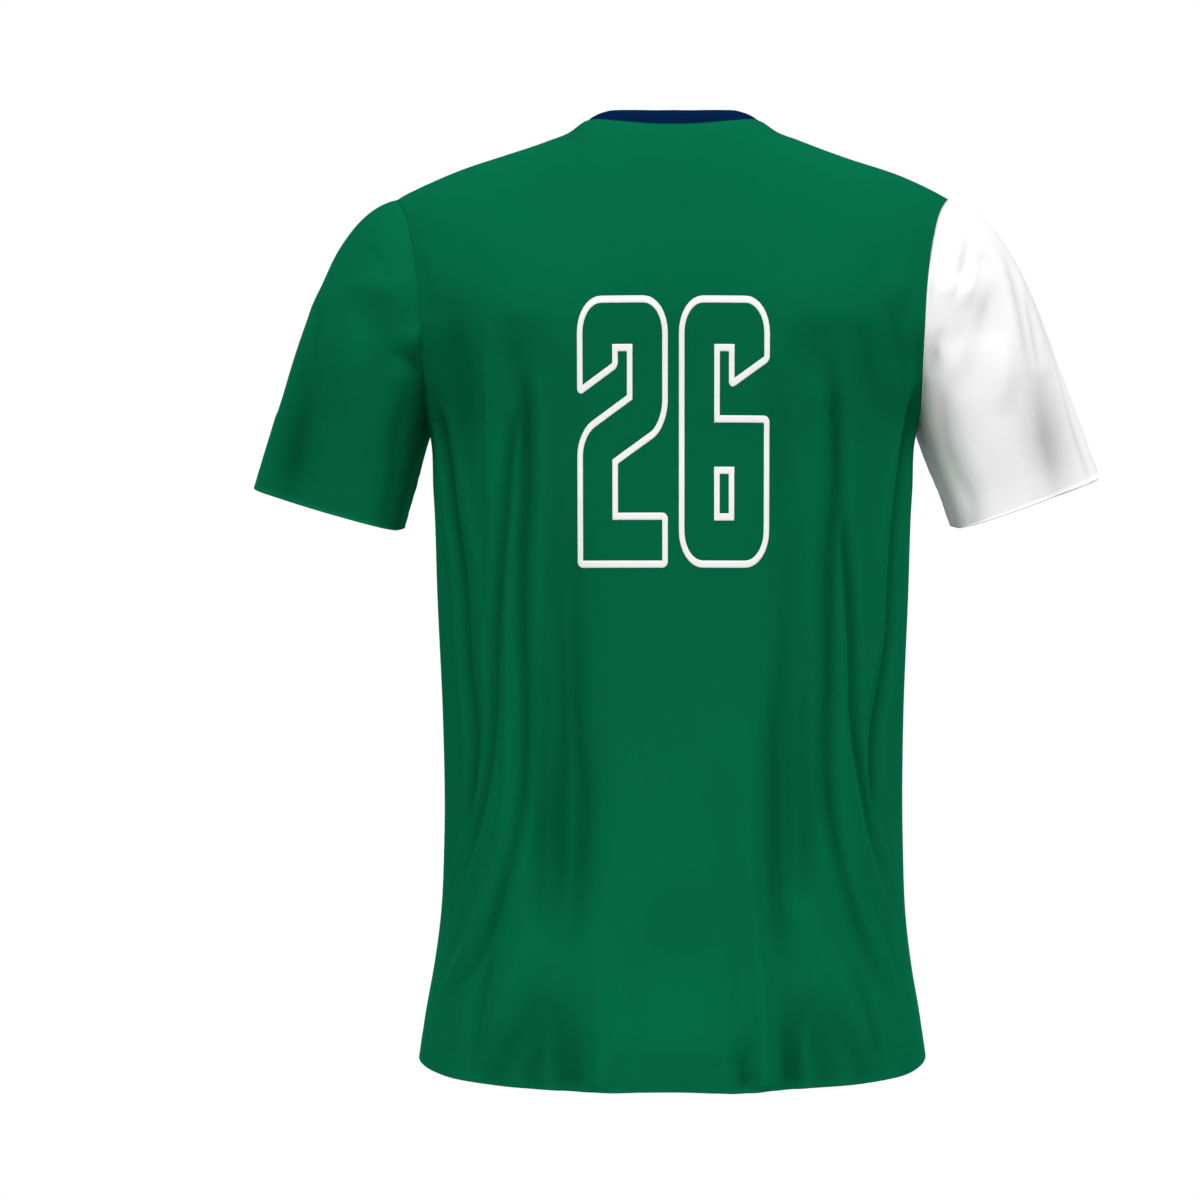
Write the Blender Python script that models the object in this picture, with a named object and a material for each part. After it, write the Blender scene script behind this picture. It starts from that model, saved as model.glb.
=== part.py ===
"""Baseball jersey, filled out as worn: a short-sleeved pullover made of sewn knit pieces.

Frame: metres, +Z up, the front faces -Y and the wearer's left is +X. The origin is midway
between the two points where shoulder seam and neckline meet, which rest on the wearer.
"""

import math
from collections import namedtuple

import bpy
import numpy as np
from mathutils import Vector
from mathutils.bvhtree import BVHTree

# ---- cloth and seams -------------------------------------------------------------------
KNIT_WALL = 0.0015
RIB_WALL = 0.0024
FILM_WALL = 0.0006
FILM_GAP = 0.0004              # under the film, over the flats of the faceted panel
SEAM_GAP = 0.0003
LONGEST_MITRE = 1.5            # a wall's slanted edge against the wall itself

# ---- torso -----------------------------------------------------------------------------
HEM_Z = -0.750
UNDERARM_Z = -0.245
YOKE_Z = -0.170                # shoulder blades: above this the cloth rolls over the shoulder

Section = namedtuple("Section", "z half_width back front roundness")
TORSO = (                      # oval sections; roundness is their exponent, where 2 is an ellipse
    Section(-0.750, 0.2035, 0.141, 0.135, 2.5),
    Section(-0.715, 0.1985, 0.137, 0.132, 2.45),
    Section(-0.680, 0.1925, 0.131, 0.129, 2.4),
    Section(-0.645, 0.1882, 0.124, 0.126, 2.35),
    Section(-0.580, 0.1855, 0.116, 0.122, 2.3),
    Section(-0.480, 0.1860, 0.110, 0.119, 2.3),
    Section(-0.380, 0.1903, 0.112, 0.121, 2.3),
    Section(-0.300, 0.1935, 0.117, 0.125, 2.3),
    Section(-0.245, 0.1985, 0.120, 0.128, 2.3),
    Section(-0.208, 0.2165, 0.1215, 0.128, 2.3),
    Section(-0.170, 0.2350, 0.1220, 0.127, 2.3),
    Section(-0.132, 0.2165, 0.1215, 0.126, 2.3),     # past the top one, to level the curves there
)

Ridge = namedtuple("Ridge", "x z")
SHOULDER = (                   # top line of the shoulder, from the middle of the neck outward
    Ridge(0.0000, 0.0180),
    Ridge(0.0400, 0.0120),
    Ridge(0.0715, 0.0000),
    Ridge(0.0829, -0.0085),
    Ridge(0.0992, -0.0145),
    Ridge(0.1366, -0.0275),
    Ridge(0.1860, -0.0440),
    Ridge(0.2106, -0.0545),
    Ridge(0.2235, -0.0610),
)

Armhole = namedtuple("Armhole", "z x")
ARMHOLE = (                    # where the sleeve is set in
    Armhole(-0.245, 0.1985),
    Armhole(-0.228, 0.1968),
    Armhole(-0.208, 0.1954),
    Armhole(-0.184, 0.1949),
    Armhole(-0.153, 0.1963),
    Armhole(-0.128, 0.1992),
    Armhole(-0.101, 0.2046),
    Armhole(-0.078, 0.2125),
    Armhole(-0.061, 0.2235),
)

# ---- neck ------------------------------------------------------------------------------
NECK_HALF_WIDTH = 0.0715
NECK_BACK = 0.068
NECK_FRONT = 0.104
NECK_ROUNDNESS = 2.1
BAND_RISE = 0.0130             # the band stands this high off its seam behind and in front ...
BAND_LEAN = 0.0095             # ... and leans this far in
BAND_SIDE_TURN = 0.0060        # at the sides it rises less and leans more by this

# ---- sleeves: the cuff is a flattened oval, and each is as it hangs on its own side -----
Sleeve = namedtuple("Sleeve", "node side outer_x outer_z inner_x inner_z")
SLEEVES = (
    Sleeve("left_sleeve", 1, 0.3430, -0.2925, 0.2208, -0.3283),
    Sleeve("right_sleeve", -1, 0.3480, -0.2840, 0.2281, -0.3267),
)
CUFF_HALF_DEPTH = 0.061
CUFF_FORWARD = 0.019           # the arm hangs this far in front of the side seam
CUFF_TURN = 0.019              # how far behind the cuff's middle its inner edge is
CUFF_FLATNESS = 0.60           # 1 for a plain oval, less for one that lies flatter
CUFF_BACK_DROP = 0.004         # how much lower the cuff's back edge is than its middle
UNDERARM_RUN = (0.22, 0.0, -1.0)       # way that the sleeve leaves the armhole below ...
SHOULDER_RUN = (0.98, 0.0, -0.20)      # ... and above
SLEEVE_BULGE = 0.10            # lean of that way to the back and to the front, between them
TOP_REACH = 0.062              # length of the curve's handles over the arm ...
TOP_FALL = 0.108
UNDER_REACH = 0.020            # ... and under it
UNDER_FALL = 0.030
OUTER_FLARE = 0.06             # how much further out the sleeve's outer side runs at the cuff

# ---- main folds: soft troughs down the cloth, each through three points ------------------
Fold = namedtuple("Fold", "x_top z_top x_mid z_mid x_low z_low width depth")
BACK_FOLDS = (
    Fold(0.186, -0.240, 0.170, -0.400, 0.171, -0.575, 0.011, 0.0050),
    Fold(0.117, -0.235, 0.137, -0.440, 0.166, -0.620, 0.012, 0.0070),
    Fold(0.112, -0.270, 0.118, -0.480, 0.170, -0.710, 0.013, 0.0070),
    Fold(0.084, -0.230, 0.076, -0.480, 0.072, -0.640, 0.018, 0.0065),
    Fold(-0.186, -0.240, -0.166, -0.420, -0.160, -0.610, 0.011, 0.0055),
    Fold(-0.122, -0.220, -0.120, -0.440, -0.156, -0.690, 0.013, 0.0070),
    Fold(-0.130, -0.340, -0.139, -0.480, -0.160, -0.640, 0.011, 0.0050),
    Fold(-0.080, -0.350, -0.077, -0.500, -0.090, -0.670, 0.016, 0.0060),
)
FRONT_FOLDS = (
    Fold(0.184, -0.250, 0.160, -0.420, 0.150, -0.600, 0.013, 0.0060),
    Fold(0.120, -0.260, 0.112, -0.460, 0.128, -0.680, 0.015, 0.0065),
    Fold(0.050, -0.330, 0.060, -0.520, 0.048, -0.700, 0.018, 0.0045),
    Fold(-0.184, -0.245, -0.164, -0.420, -0.152, -0.610, 0.013, 0.0060),
    Fold(-0.116, -0.240, -0.124, -0.440, -0.118, -0.660, 0.014, 0.0065),
    Fold(-0.046, -0.380, -0.034, -0.540, -0.050, -0.720, 0.018, 0.0045),
)
FOLD_FADE = 0.25               # share of a fold's length over which each end dies away
SEAM_FLAT = 0.16               # share of the half panel beside a seam that folds leave flat

# ---- how finely the cloth is faceted -----------------------------------------------------
NECK_COLUMNS = 6               # on each side of the middle
SHOULDER_COLUMNS = 8
NECK_SHARE = 0.34              # share of the half panel's columns under the neckline
BODY_ROWS = 13                 # from the hem up to the underarm
UNDERARM_STEPS = (0.0, 0.08, 0.22, 0.45, 0.72, 1.0)
YOKE_ROWS = 8
SLEEVE_ROWS = 9
BAND_ROWS = 2
CORNER_POINTS = 4              # on each rounded corner of a digit
SHARP_TURN = math.radians(50.0)        # edges that turn more than this are shaded as edges
ARMHOLE_STEPS = 12             # halvings that settle where a row meets the armhole
CAST_FROM_Y = 1.0              # the film is laid from this far behind

# ---- player number: plain block digits, drawn as an outline of pressed film --------------
DIGIT_FOOT_Z = -0.359
STROKE_ACROSS = 0.0042         # width of the upright strokes ...
STROKE_DOWN = 0.0054           # ... and of the level ones
FILM_STEP = 0.008

Corner = namedtuple("Corner", "u w round_in round_out")


def sharp(u, w):
    """A square corner of a digit's outline, in metres from its lower left."""
    return Corner(u, w, 0.0, 0.0)


TWO = (
    Corner(0.0000, 0.1980, 0.025, 0.016),
    Corner(0.0640, 0.1980, 0.016, 0.025),
    Corner(0.0640, 0.1040, 0.019, 0.012),
    sharp(0.0265, 0.0770),
    sharp(0.0265, 0.0360),
    sharp(0.0640, 0.0360),
    sharp(0.0640, 0.0000),
    sharp(0.0000, 0.0000),
    Corner(0.0000, 0.0980, 0.016, 0.012),
    sharp(0.0375, 0.1250),
    sharp(0.0375, 0.1620),
    sharp(0.0265, 0.1620),
    sharp(0.0265, 0.1490),
    sharp(0.0000, 0.1300),
)
SIX = (
    Corner(0.0000, 0.1980, 0.025, 0.016),
    Corner(0.0640, 0.1980, 0.016, 0.025),
    sharp(0.0640, 0.1540),
    sharp(0.0375, 0.1350),
    sharp(0.0375, 0.1620),
    sharp(0.0265, 0.1620),
    sharp(0.0265, 0.1090),
    sharp(0.0640, 0.1090),
    Corner(0.0640, 0.0000, 0.025, 0.016),
    Corner(0.0000, 0.0000, 0.016, 0.025),
)
SIX_COUNTER = (
    sharp(0.0265, 0.0705),
    sharp(0.0375, 0.0705),
    sharp(0.0375, 0.0355),
    sharp(0.0265, 0.0355),
)
Digit = namedtuple("Digit", "node left_x corners")
NUMBER = (
    Digit("number_2", 0.0700, TWO),
    Digit("number_6", -0.0065, SIX),
    Digit("number_6_counter", -0.0065, SIX_COUNTER),
)

Finish = namedtuple("Finish", "color roughness")
GREEN_KNIT = Finish((0.002, 0.150, 0.064), 0.72)
NAVY_KNIT = Finish((0.001, 0.013, 0.053), 0.75)
WHITE_KNIT = Finish((0.860, 0.860, 0.860), 0.70)
WHITE_FILM = Finish((0.800, 0.810, 0.800), 0.45)


# ---- reading the tables ------------------------------------------------------------------
def smooth_read(table, key, column, at):
    """Value of a table's column at a key value, on a smooth curve through its rows."""
    rows = sorted(table, key=lambda row: getattr(row, key))
    keys = np.array([getattr(row, key) for row in rows])
    values = np.array([getattr(row, column) for row in rows])
    slopes = np.gradient(values, keys)
    at = float(np.clip(at, keys[0], keys[-1]))
    i = int(np.clip(np.searchsorted(keys, at) - 1, 0, len(keys) - 2))
    run = keys[i + 1] - keys[i]
    t = (at - keys[i]) / run
    blend = ease(t)
    lead = t * (1.0 - t) ** 2 * run * slopes[i]
    tail = t * t * (t - 1.0) * run * slopes[i + 1]
    return (1.0 - blend) * values[i] + blend * values[i + 1] + lead + tail


def ease(t):
    """Smooth step from 0 to 1."""
    t = min(max(t, 0.0), 1.0)
    return t * t * (3.0 - 2.0 * t)


def oval(across, half_width, depth, roundness):
    """Depth of an oval section at a distance across from its middle."""
    share = min(abs(across) / half_width, 1.0)
    return depth * (1.0 - share ** roundness) ** (1.0 / roundness)


# ---- the form that the cloth follows -----------------------------------------------------
def section_point(x, z, side):
    """Point of the torso below the shoulder blades; side is 1 for the back, -1 for the front."""
    half_width = smooth_read(TORSO, "z", "half_width", z)
    depth = smooth_read(TORSO, "z", "back" if side > 0 else "front", z)
    roundness = smooth_read(TORSO, "z", "roundness", z)
    return np.array((x, side * oval(x, half_width, depth, roundness), z))


def yoke_point(x, share, side):
    """Point of the roll over the shoulder, a share of the way to its top or to the neckline."""
    blade = section_point(x, YOKE_Z, side)
    ridge_z = smooth_read(SHOULDER, "x", "z", abs(x))
    top_angle = math.pi / 2.0
    if abs(x) < NECK_HALF_WIDTH:
        neck_depth = NECK_BACK if side > 0 else NECK_FRONT
        neck_y = oval(x, NECK_HALF_WIDTH, neck_depth, NECK_ROUNDNESS)
        top_angle = math.acos(neck_y / abs(blade[1]))
    angle = share * top_angle
    return np.array((x, blade[1] * math.cos(angle), YOKE_Z + (ridge_z - YOKE_Z) * math.sin(angle)))


def fold_depth(folds, x, z):
    """How far the folds press the cloth in at a place."""
    total = 0.0
    for fold in folds:
        along = (fold.z_top - z) / (fold.z_top - fold.z_low)
        if not 0.0 < along < 1.0:
            continue
        mid = (fold.z_top - fold.z_mid) / (fold.z_top - fold.z_low)
        line_x = (fold.x_top * (along - mid) * (along - 1.0) / mid
                  + fold.x_mid * along * (along - 1.0) / (mid * (mid - 1.0))
                  + fold.x_low * along * (along - mid) / (1.0 - mid))
        fade = ease(along / FOLD_FADE) * ease((1.0 - along) / FOLD_FADE)
        total += fold.depth * fade * math.exp(-((x - line_x) / fold.width) ** 2)
    return total


# ---- grids of cloth ----------------------------------------------------------------------
def unit(vectors):
    return vectors / np.linalg.norm(vectors, axis=-1, keepdims=True)


def grid_normals(points, ring):
    """Unit normals of a grid whose second axis may close into a ring."""
    if ring:
        across = np.roll(points, -1, axis=1) - np.roll(points, 1, axis=1)
    else:
        across = np.gradient(points, axis=1, edge_order=2)
    along = np.gradient(points, axis=0, edge_order=2)
    return unit(np.cross(across, along))


def panel_columns():
    """Places of a panel's columns, from -1 to 1, with one under each end of the neckline."""
    neck = np.linspace(0.0, NECK_SHARE, NECK_COLUMNS + 1)
    shoulder = np.linspace(NECK_SHARE, 1.0, SHOULDER_COLUMNS + 1)[1:]
    half = np.concatenate((neck, shoulder))
    return np.concatenate((-half[:0:-1], half))


def panel_row(columns, z, limit, spread):
    """Places across at which a row meets the columns; spread turns from 0, even round the
    section, to 1, even along the shoulder with a column at the end of the neckline."""
    half_width = smooth_read(TORSO, "z", "half_width", z)
    roundness = smooth_read(TORSO, "z", "roundness", z)
    limit = min(limit, half_width)
    limit_angle = math.acos((limit / half_width) ** (roundness / 2.0))
    swing = math.pi / 2.0 - limit_angle
    neck_share = NECK_HALF_WIDTH / SHOULDER[-1].x
    places = []
    for column in columns:
        share = abs(column)
        turned = half_width * math.sin(share * swing) ** (2.0 / roundness)
        if share <= NECK_SHARE:
            level = neck_share * math.sin(share / NECK_SHARE * math.pi / 2.0)
        else:
            level = neck_share + (share - NECK_SHARE) * (1.0 - neck_share) / (1.0 - NECK_SHARE)
        place = (1.0 - spread) * turned + spread * level * limit
        places.append(math.copysign(place, column))
    return places


def armhole_limit(share):
    """How far across the roll over the shoulder reaches before the armhole."""
    limit = SHOULDER[-1].x
    for _ in range(ARMHOLE_STEPS):
        ridge_z = smooth_read(SHOULDER, "x", "z", limit)
        z = YOKE_Z + (ridge_z - YOKE_Z) * math.sin(share * math.pi / 2.0)
        limit = 0.5 * (limit + smooth_read(ARMHOLE, "z", "x", z))
    return limit


def panel_grid(side):
    """Outer face of a body panel, from the hem up to the shoulder seams and the neckline."""
    columns = panel_columns()
    rows = []
    body = np.linspace(HEM_Z, UNDERARM_Z, BODY_ROWS + 1)
    for z in body[:-1]:
        places = panel_row(columns, z, math.inf, 0.0)
        rows.append([section_point(x, z, side) for x in places])
    for step in UNDERARM_STEPS:
        z = UNDERARM_Z + step * (YOKE_Z - UNDERARM_Z)
        places = panel_row(columns, z, smooth_read(ARMHOLE, "z", "x", z), 0.0)
        rows.append([section_point(x, z, side) for x in places])
    for row in range(1, YOKE_ROWS + 1):
        share = row / YOKE_ROWS
        places = panel_row(columns, YOKE_Z, armhole_limit(share), ease(share))
        rows.append([yoke_point(x, share, side) for x in places])
    return np.array(rows)


def fold_panel(points, normals, folds):
    """Press the folds into a panel, leaving the cloth beside its seams flat."""
    columns = panel_columns()
    folded = points.copy()
    for row in range(points.shape[0]):
        for col in range(points.shape[1]):
            x, _, z = points[row, col]
            beside = ease((1.0 - abs(columns[col])) / SEAM_FLAT)
            folded[row, col] -= normals[row, col] * fold_depth(folds, x, z) * beside
    return folded


def body_panel(side, folds):
    """Outer points and outward normals of a body panel, half a seam gap off the side seams."""
    points = panel_grid(side)
    normals = side * -grid_normals(points, ring=False)
    points = fold_panel(points, normals, folds)
    normals = side * -grid_normals(points, ring=False)
    seam = np.zeros(points.shape[:2], dtype=bool)
    seam[:BODY_ROWS + 1, 0] = True
    seam[:BODY_ROWS + 1, -1] = True
    seam[-1, :SHOULDER_COLUMNS + 1] = True
    seam[-1, -SHOULDER_COLUMNS - 1:] = True
    normals[seam, 1] = 0.0
    normals[seam] = unit(normals[seam])
    points[seam, 1] = side * SEAM_GAP / 2.0
    return points, normals


# ---- seams that run round a hole ---------------------------------------------------------
def mitre(first, second):
    """Shared slant of two walls at their seam: a direction, and its length against the wall."""
    total = first + second
    size = np.linalg.norm(total, axis=-1, keepdims=True)
    return total / size / np.maximum(size / 2.0, 1.0 / LONGEST_MITRE)


def off_the_seam(ring, slant, away):
    """A ring moved off the seam by the gap, square to the slant and the seam, away from the panel."""
    run = unit(np.roll(ring, -1, axis=0) - np.roll(ring, 1, axis=0))
    push = unit(np.cross(run, unit(slant)))
    facing = np.sign(np.sum(push * away, axis=-1, keepdims=True))
    return ring + push * facing * SEAM_GAP


def armhole_ring(back, front, side):
    """Armhole from the underarm up the back to the shoulder, and down the front again."""
    column = -1 if side > 0 else 0
    up = back[BODY_ROWS:, column]
    down = front[BODY_ROWS + 1:-1, column][::-1]
    return np.concatenate((up, down))


def put_armhole(back, front, side, ring):
    """Write values of the armhole's ring back to the two panels' edges."""
    column = -1 if side > 0 else 0
    count = back.shape[0] - BODY_ROWS
    back[BODY_ROWS:, column] = ring[:count]
    front[BODY_ROWS + 1:-1, column] = ring[count:][::-1]
    front[BODY_ROWS, column] = ring[0]
    front[-1, column] = ring[count - 1]


def ring_turn(ring, top):
    """Angle of each ring point, 0 at the underarm, half a turn at the top, by length of cloth."""
    closed = np.concatenate((ring, ring[:1]))
    lengths = np.concatenate(((0.0,), np.cumsum(np.linalg.norm(np.diff(closed, axis=0), axis=1))))
    turns = []
    for i in range(len(ring)):
        if i <= top:
            turns.append(math.pi * lengths[i] / lengths[top])
        else:
            turns.append(math.pi * (1.0 + (lengths[i] - lengths[top]) / (lengths[-1] - lengths[top])))
    return turns


def sleeve_grid(spec, ring, top):
    """Outer face of a sleeve, from the armhole's ring down to the cuff's oval."""
    outer = np.array((spec.side * spec.outer_x, -CUFF_FORWARD - CUFF_TURN, spec.outer_z))
    inner = np.array((spec.side * spec.inner_x, -CUFF_FORWARD + CUFF_TURN, spec.inner_z))
    middle = (outer + inner) / 2.0
    half = (outer - inner) / 2.0
    depth = CUFF_HALF_DEPTH * unit(np.array((0.0, CUFF_HALF_DEPTH, -CUFF_BACK_DROP)))
    fall = unit(np.cross(half, depth))
    fall *= -np.sign(fall[2])
    mirror = np.array((spec.side, 1.0, 1.0))
    grid = []
    turns = ring_turn(ring, top)
    shares = np.linspace(0.0, 1.0, SLEEVE_ROWS + 1)
    for share in shares:
        row = []
        for start, turn in zip(ring, turns):
            over = (1.0 - math.cos(turn)) / 2.0
            run = (1.0 - over) * np.array(UNDERARM_RUN) + over * np.array(SHOULDER_RUN)
            run = unit(run * mirror + np.array((0.0, SLEEVE_BULGE * math.sin(turn), 0.0)))
            swell = math.copysign(abs(math.sin(turn)) ** CUFF_FLATNESS, math.sin(turn))
            end = middle - half * math.cos(turn) + depth * swell
            reach = UNDER_REACH + (TOP_REACH - UNDER_REACH) * over
            drop = UNDER_FALL + (TOP_FALL - UNDER_FALL) * over
            arrive = fall + np.array((spec.side * OUTER_FLARE * over, 0.0, 0.0))
            handles = (start, start + run * reach, end - arrive * drop, end)
            weights = ((1 - share) ** 3, 3 * share * (1 - share) ** 2,
                       3 * share ** 2 * (1 - share), share ** 3)
            row.append(sum(weight * handle for weight, handle in zip(weights, handles)))
        grid.append(row)
    return np.array(grid)


def neck_columns(points):
    """First and last column of a panel's neckline."""
    middle = points.shape[1] // 2
    return middle - NECK_COLUMNS, middle + NECK_COLUMNS


def neck_ring(back, front):
    """Neckline from the right shoulder round the back to the left, and round the front again."""
    first, last = neck_columns(back)
    return np.concatenate((back[-1, first:last + 1], front[-1, first + 1:last][::-1]))


def put_neck(back, front, ring):
    first, last = neck_columns(back)
    count = last - first + 1
    back[-1, first:last + 1] = ring[:count]
    front[-1, first + 1:last] = ring[count:][::-1]
    front[-1, first] = ring[0]
    front[-1, last] = ring[count - 1]


def band_grid(ring):
    """Outer face of the neckband, which stands off the neckline and leans in."""
    inward = unit(ring * np.array((-1.0, -1.0, 0.0)))
    side = inward[:, :1] ** 2
    up = np.array((0.0, 0.0, 1.0))
    rise = inward * (BAND_LEAN + BAND_SIDE_TURN * side) + up * (BAND_RISE - BAND_SIDE_TURN * side)
    return np.array([ring + rise * step / BAND_ROWS for step in range(BAND_ROWS + 1)])


# ---- solids ------------------------------------------------------------------------------
def wall(points, slants, thickness, ring):
    """Closed wall under a grid of outer points: both faces and the rims, facing out."""
    rows, cols = points.shape[:2]
    inner = points - slants * thickness
    verts = np.concatenate((points.reshape(-1, 3), inner.reshape(-1, 3)))
    under = rows * cols

    def at(row, col):
        return row * cols + col % cols

    faces = []
    spans = cols if ring else cols - 1
    for row in range(rows - 1):
        for col in range(spans):
            face = [at(row, col), at(row, col + 1), at(row + 1, col + 1), at(row + 1, col)]
            faces.append(face)
            faces.append([corner + under for corner in reversed(face)])
    for col in range(spans):
        for row, step in ((0, -1), (rows - 1, 1)):
            edge = [at(row, col), at(row, col + 1)][::step]
            faces.append([edge[0], edge[1], edge[1] + under, edge[0] + under])
    if not ring:
        for row in range(rows - 1):
            for col, step in ((0, 1), (cols - 1, -1)):
                edge = [at(row, col), at(row + 1, col)][::step]
                faces.append([edge[0], edge[1], edge[1] + under, edge[0] + under])
    return facing_out(verts, faces)


def facing_out(verts, faces):
    """The closed body with its faces wound so that they face out."""
    volume = 0.0
    for face in faces:
        for second, third in zip(face[1:-1], face[2:]):
            volume += np.dot(verts[face[0]], np.cross(verts[second], verts[third])) / 6.0
    if volume < 0.0:
        faces = [face[::-1] for face in faces]
    return verts, faces


def digit_outline(corners):
    """Points round a digit's outline: rounded corners as quarter ovals, long runs divided."""
    path = []
    count = len(corners)
    for i, corner in enumerate(corners):
        here = np.array(corner[:2])
        before = unit(here - np.array(corners[i - 1][:2]))
        after = unit(np.array(corners[(i + 1) % count][:2]) - here)
        if corner.round_in == 0.0:
            path.append(here)
            continue
        for angle in np.linspace(0.0, math.pi / 2.0, CORNER_POINTS):
            path.append(here - before * corner.round_in * (1.0 - math.sin(angle))
                        + after * corner.round_out * (1.0 - math.cos(angle)))
    divided = []
    for i, point in enumerate(path):
        ahead = path[(i + 1) % len(path)]
        pieces = max(1, round(np.linalg.norm(ahead - point) / FILM_STEP))
        divided.extend(point + (ahead - point) * step / pieces for step in range(pieces))
    return np.array(divided)


def stroke_edges(path):
    """Both edges of the stroke along a closed path, with mitred corners."""
    stroke = np.array((STROKE_ACROSS, STROKE_DOWN)) / 2.0
    scaled = path / stroke
    into = unit(scaled - np.roll(scaled, 1, axis=0))
    out_of = unit(np.roll(scaled, -1, axis=0) - scaled)
    side = unit(into + out_of)[:, ::-1] * np.array((1.0, -1.0))
    square = into[:, ::-1] * np.array((1.0, -1.0))
    side = side / np.sum(side * square, axis=1, keepdims=True)
    return (scaled - side) * stroke, (scaled + side) * stroke


def film(digit, panel):
    """Closed band of film along a digit's outline, lying just off the back panel."""
    first, second = stroke_edges(digit_outline(digit.corners))
    stations = []
    for near, far in zip(first, second):
        station = []
        for (u, w), lift in ((near, 1), (far, 1), (far, 0), (near, 0)):
            behind = Vector((digit.left_x - u, CAST_FROM_Y, DIGIT_FOOT_Z + w))
            ground, normal = panel.ray_cast(behind, Vector((0.0, -1.0, 0.0)))[:2]
            station.append(ground + normal * (FILM_GAP + lift * FILM_WALL))
        stations.append(station)
    verts = np.array(stations).reshape(-1, 3)
    count = len(stations)
    faces = []
    for i in range(count):
        for k in range(4):
            here, ahead = 4 * i, 4 * ((i + 1) % count)
            turn = (k + 1) % 4
            faces.append([here + k, here + turn, ahead + turn, ahead + k])
    return facing_out(verts, faces)


def add_material(name, finish):
    material = bpy.data.materials.new(name)
    material.use_nodes = True
    shader = material.node_tree.nodes["Principled BSDF"]
    shader.inputs["Base Color"].default_value = (*finish.color, 1.0)
    shader.inputs["Roughness"].default_value = finish.roughness
    shader.inputs["Metallic"].default_value = 0.0
    material.diffuse_color = (*finish.color, 1.0)
    return material


def add_solid(collection, node, verts, faces, finish):
    """One closed body as a named object, shaded smooth."""
    mesh = bpy.data.meshes.new(node)
    mesh.from_pydata([tuple(vert) for vert in verts], [], faces)
    mesh.validate()
    mesh.shade_smooth()
    mesh.set_sharp_from_angle(angle=SHARP_TURN)
    solid = bpy.data.objects.new(node, mesh)
    solid.data.materials.append(add_material(node, finish))
    collection.objects.link(solid)
    return solid


def clear_scene():
    for item in list(bpy.data.objects):
        bpy.data.objects.remove(item, do_unlink=True)


def build_jersey():
    clear_scene()
    collection = bpy.data.collections.new("baseball_jersey")
    bpy.context.scene.collection.children.link(collection)

    back, back_slants = body_panel(1, BACK_FOLDS)
    front, front_slants = body_panel(-1, FRONT_FOLDS)

    for spec in SLEEVES:
        finish = GREEN_KNIT if spec.side > 0 else WHITE_KNIT
        ring = armhole_ring(back, front, spec.side)
        ring[0, 1] = 0.0
        top = back.shape[0] - 1 - BODY_ROWS
        ring[top, 1] = 0.0
        panel_normals = armhole_ring(back_slants, front_slants, spec.side)
        away = sleeve_grid(spec, ring, top)[1] - ring
        normals = spec.side * grid_normals(sleeve_grid(spec, ring, top), ring=True)
        slant = mitre(panel_normals, normals[0])
        slant[[0, top], 1] = 0.0
        points = sleeve_grid(spec, off_the_seam(ring, slant, away), top)
        normals = spec.side * grid_normals(points, ring=True)
        normals[0] = slant
        put_armhole(back_slants, front_slants, spec.side, slant)
        add_solid(collection, spec.node, *wall(points, normals, KNIT_WALL, ring=True), finish)

    ring = neck_ring(back, front)
    ends = [0, 2 * NECK_COLUMNS]
    ring[ends, 1] = 0.0
    band_normals = -grid_normals(band_grid(ring), ring=True)
    slant = mitre(neck_ring(back_slants, front_slants), band_normals[0])
    slant[ends, 1] = 0.0
    band = band_grid(off_the_seam(ring, slant, np.array((0.0, 0.0, 1.0))))
    band_normals = -grid_normals(band, ring=True)
    band_normals[0] = slant
    put_neck(back_slants, front_slants, slant)
    add_solid(collection, "neckband", *wall(band, band_normals, RIB_WALL, ring=True), NAVY_KNIT)

    back_wall = wall(back, back_slants, KNIT_WALL, ring=False)
    front_wall = wall(front, front_slants, KNIT_WALL, ring=False)
    add_solid(collection, "back_panel", *back_wall, GREEN_KNIT)
    add_solid(collection, "front_panel", *front_wall, NAVY_KNIT)
    back_faces = BVHTree.FromPolygons(*back_wall)
    for digit in NUMBER:
        add_solid(collection, digit.node, *film(digit, back_faces), WHITE_FILM)


build_jersey()
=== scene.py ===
"""Baseball jersey, dressed: fine cloth, folds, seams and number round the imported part.

Frame: metres, +Z up, the front faces -Y, the wearer's left is +X. The origin is midway
between the two points where shoulder seam and neckline meet.
"""

import math
from collections import namedtuple

import bpy
import numpy as np
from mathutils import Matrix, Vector
from mathutils.bvhtree import BVHTree


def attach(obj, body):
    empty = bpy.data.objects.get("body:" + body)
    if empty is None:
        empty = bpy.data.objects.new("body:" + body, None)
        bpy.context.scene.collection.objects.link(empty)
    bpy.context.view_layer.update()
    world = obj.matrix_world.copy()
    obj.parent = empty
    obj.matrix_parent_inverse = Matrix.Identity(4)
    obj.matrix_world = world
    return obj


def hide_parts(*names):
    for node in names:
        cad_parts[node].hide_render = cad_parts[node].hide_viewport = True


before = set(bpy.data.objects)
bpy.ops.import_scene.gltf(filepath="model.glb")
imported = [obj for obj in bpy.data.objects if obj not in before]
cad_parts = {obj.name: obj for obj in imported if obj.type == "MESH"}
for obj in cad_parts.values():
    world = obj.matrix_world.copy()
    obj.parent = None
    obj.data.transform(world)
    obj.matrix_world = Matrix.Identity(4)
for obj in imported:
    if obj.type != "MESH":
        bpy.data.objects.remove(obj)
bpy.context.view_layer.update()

# ---- cloth ----
KNIT = 0.001  # thickness of one layer of knit
HEM_LAYERS = 2.0  # hems and cuffs are folded over
RIB = 0.0021
SEAM_GAP = 0.000002  # half of what parts two pieces at a seam
SEAM_DIP = 0.0004  # cloth sinks this far into a seam ...
SEAM_DIP_RUN = 0.0022  # ... over this distance
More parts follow.
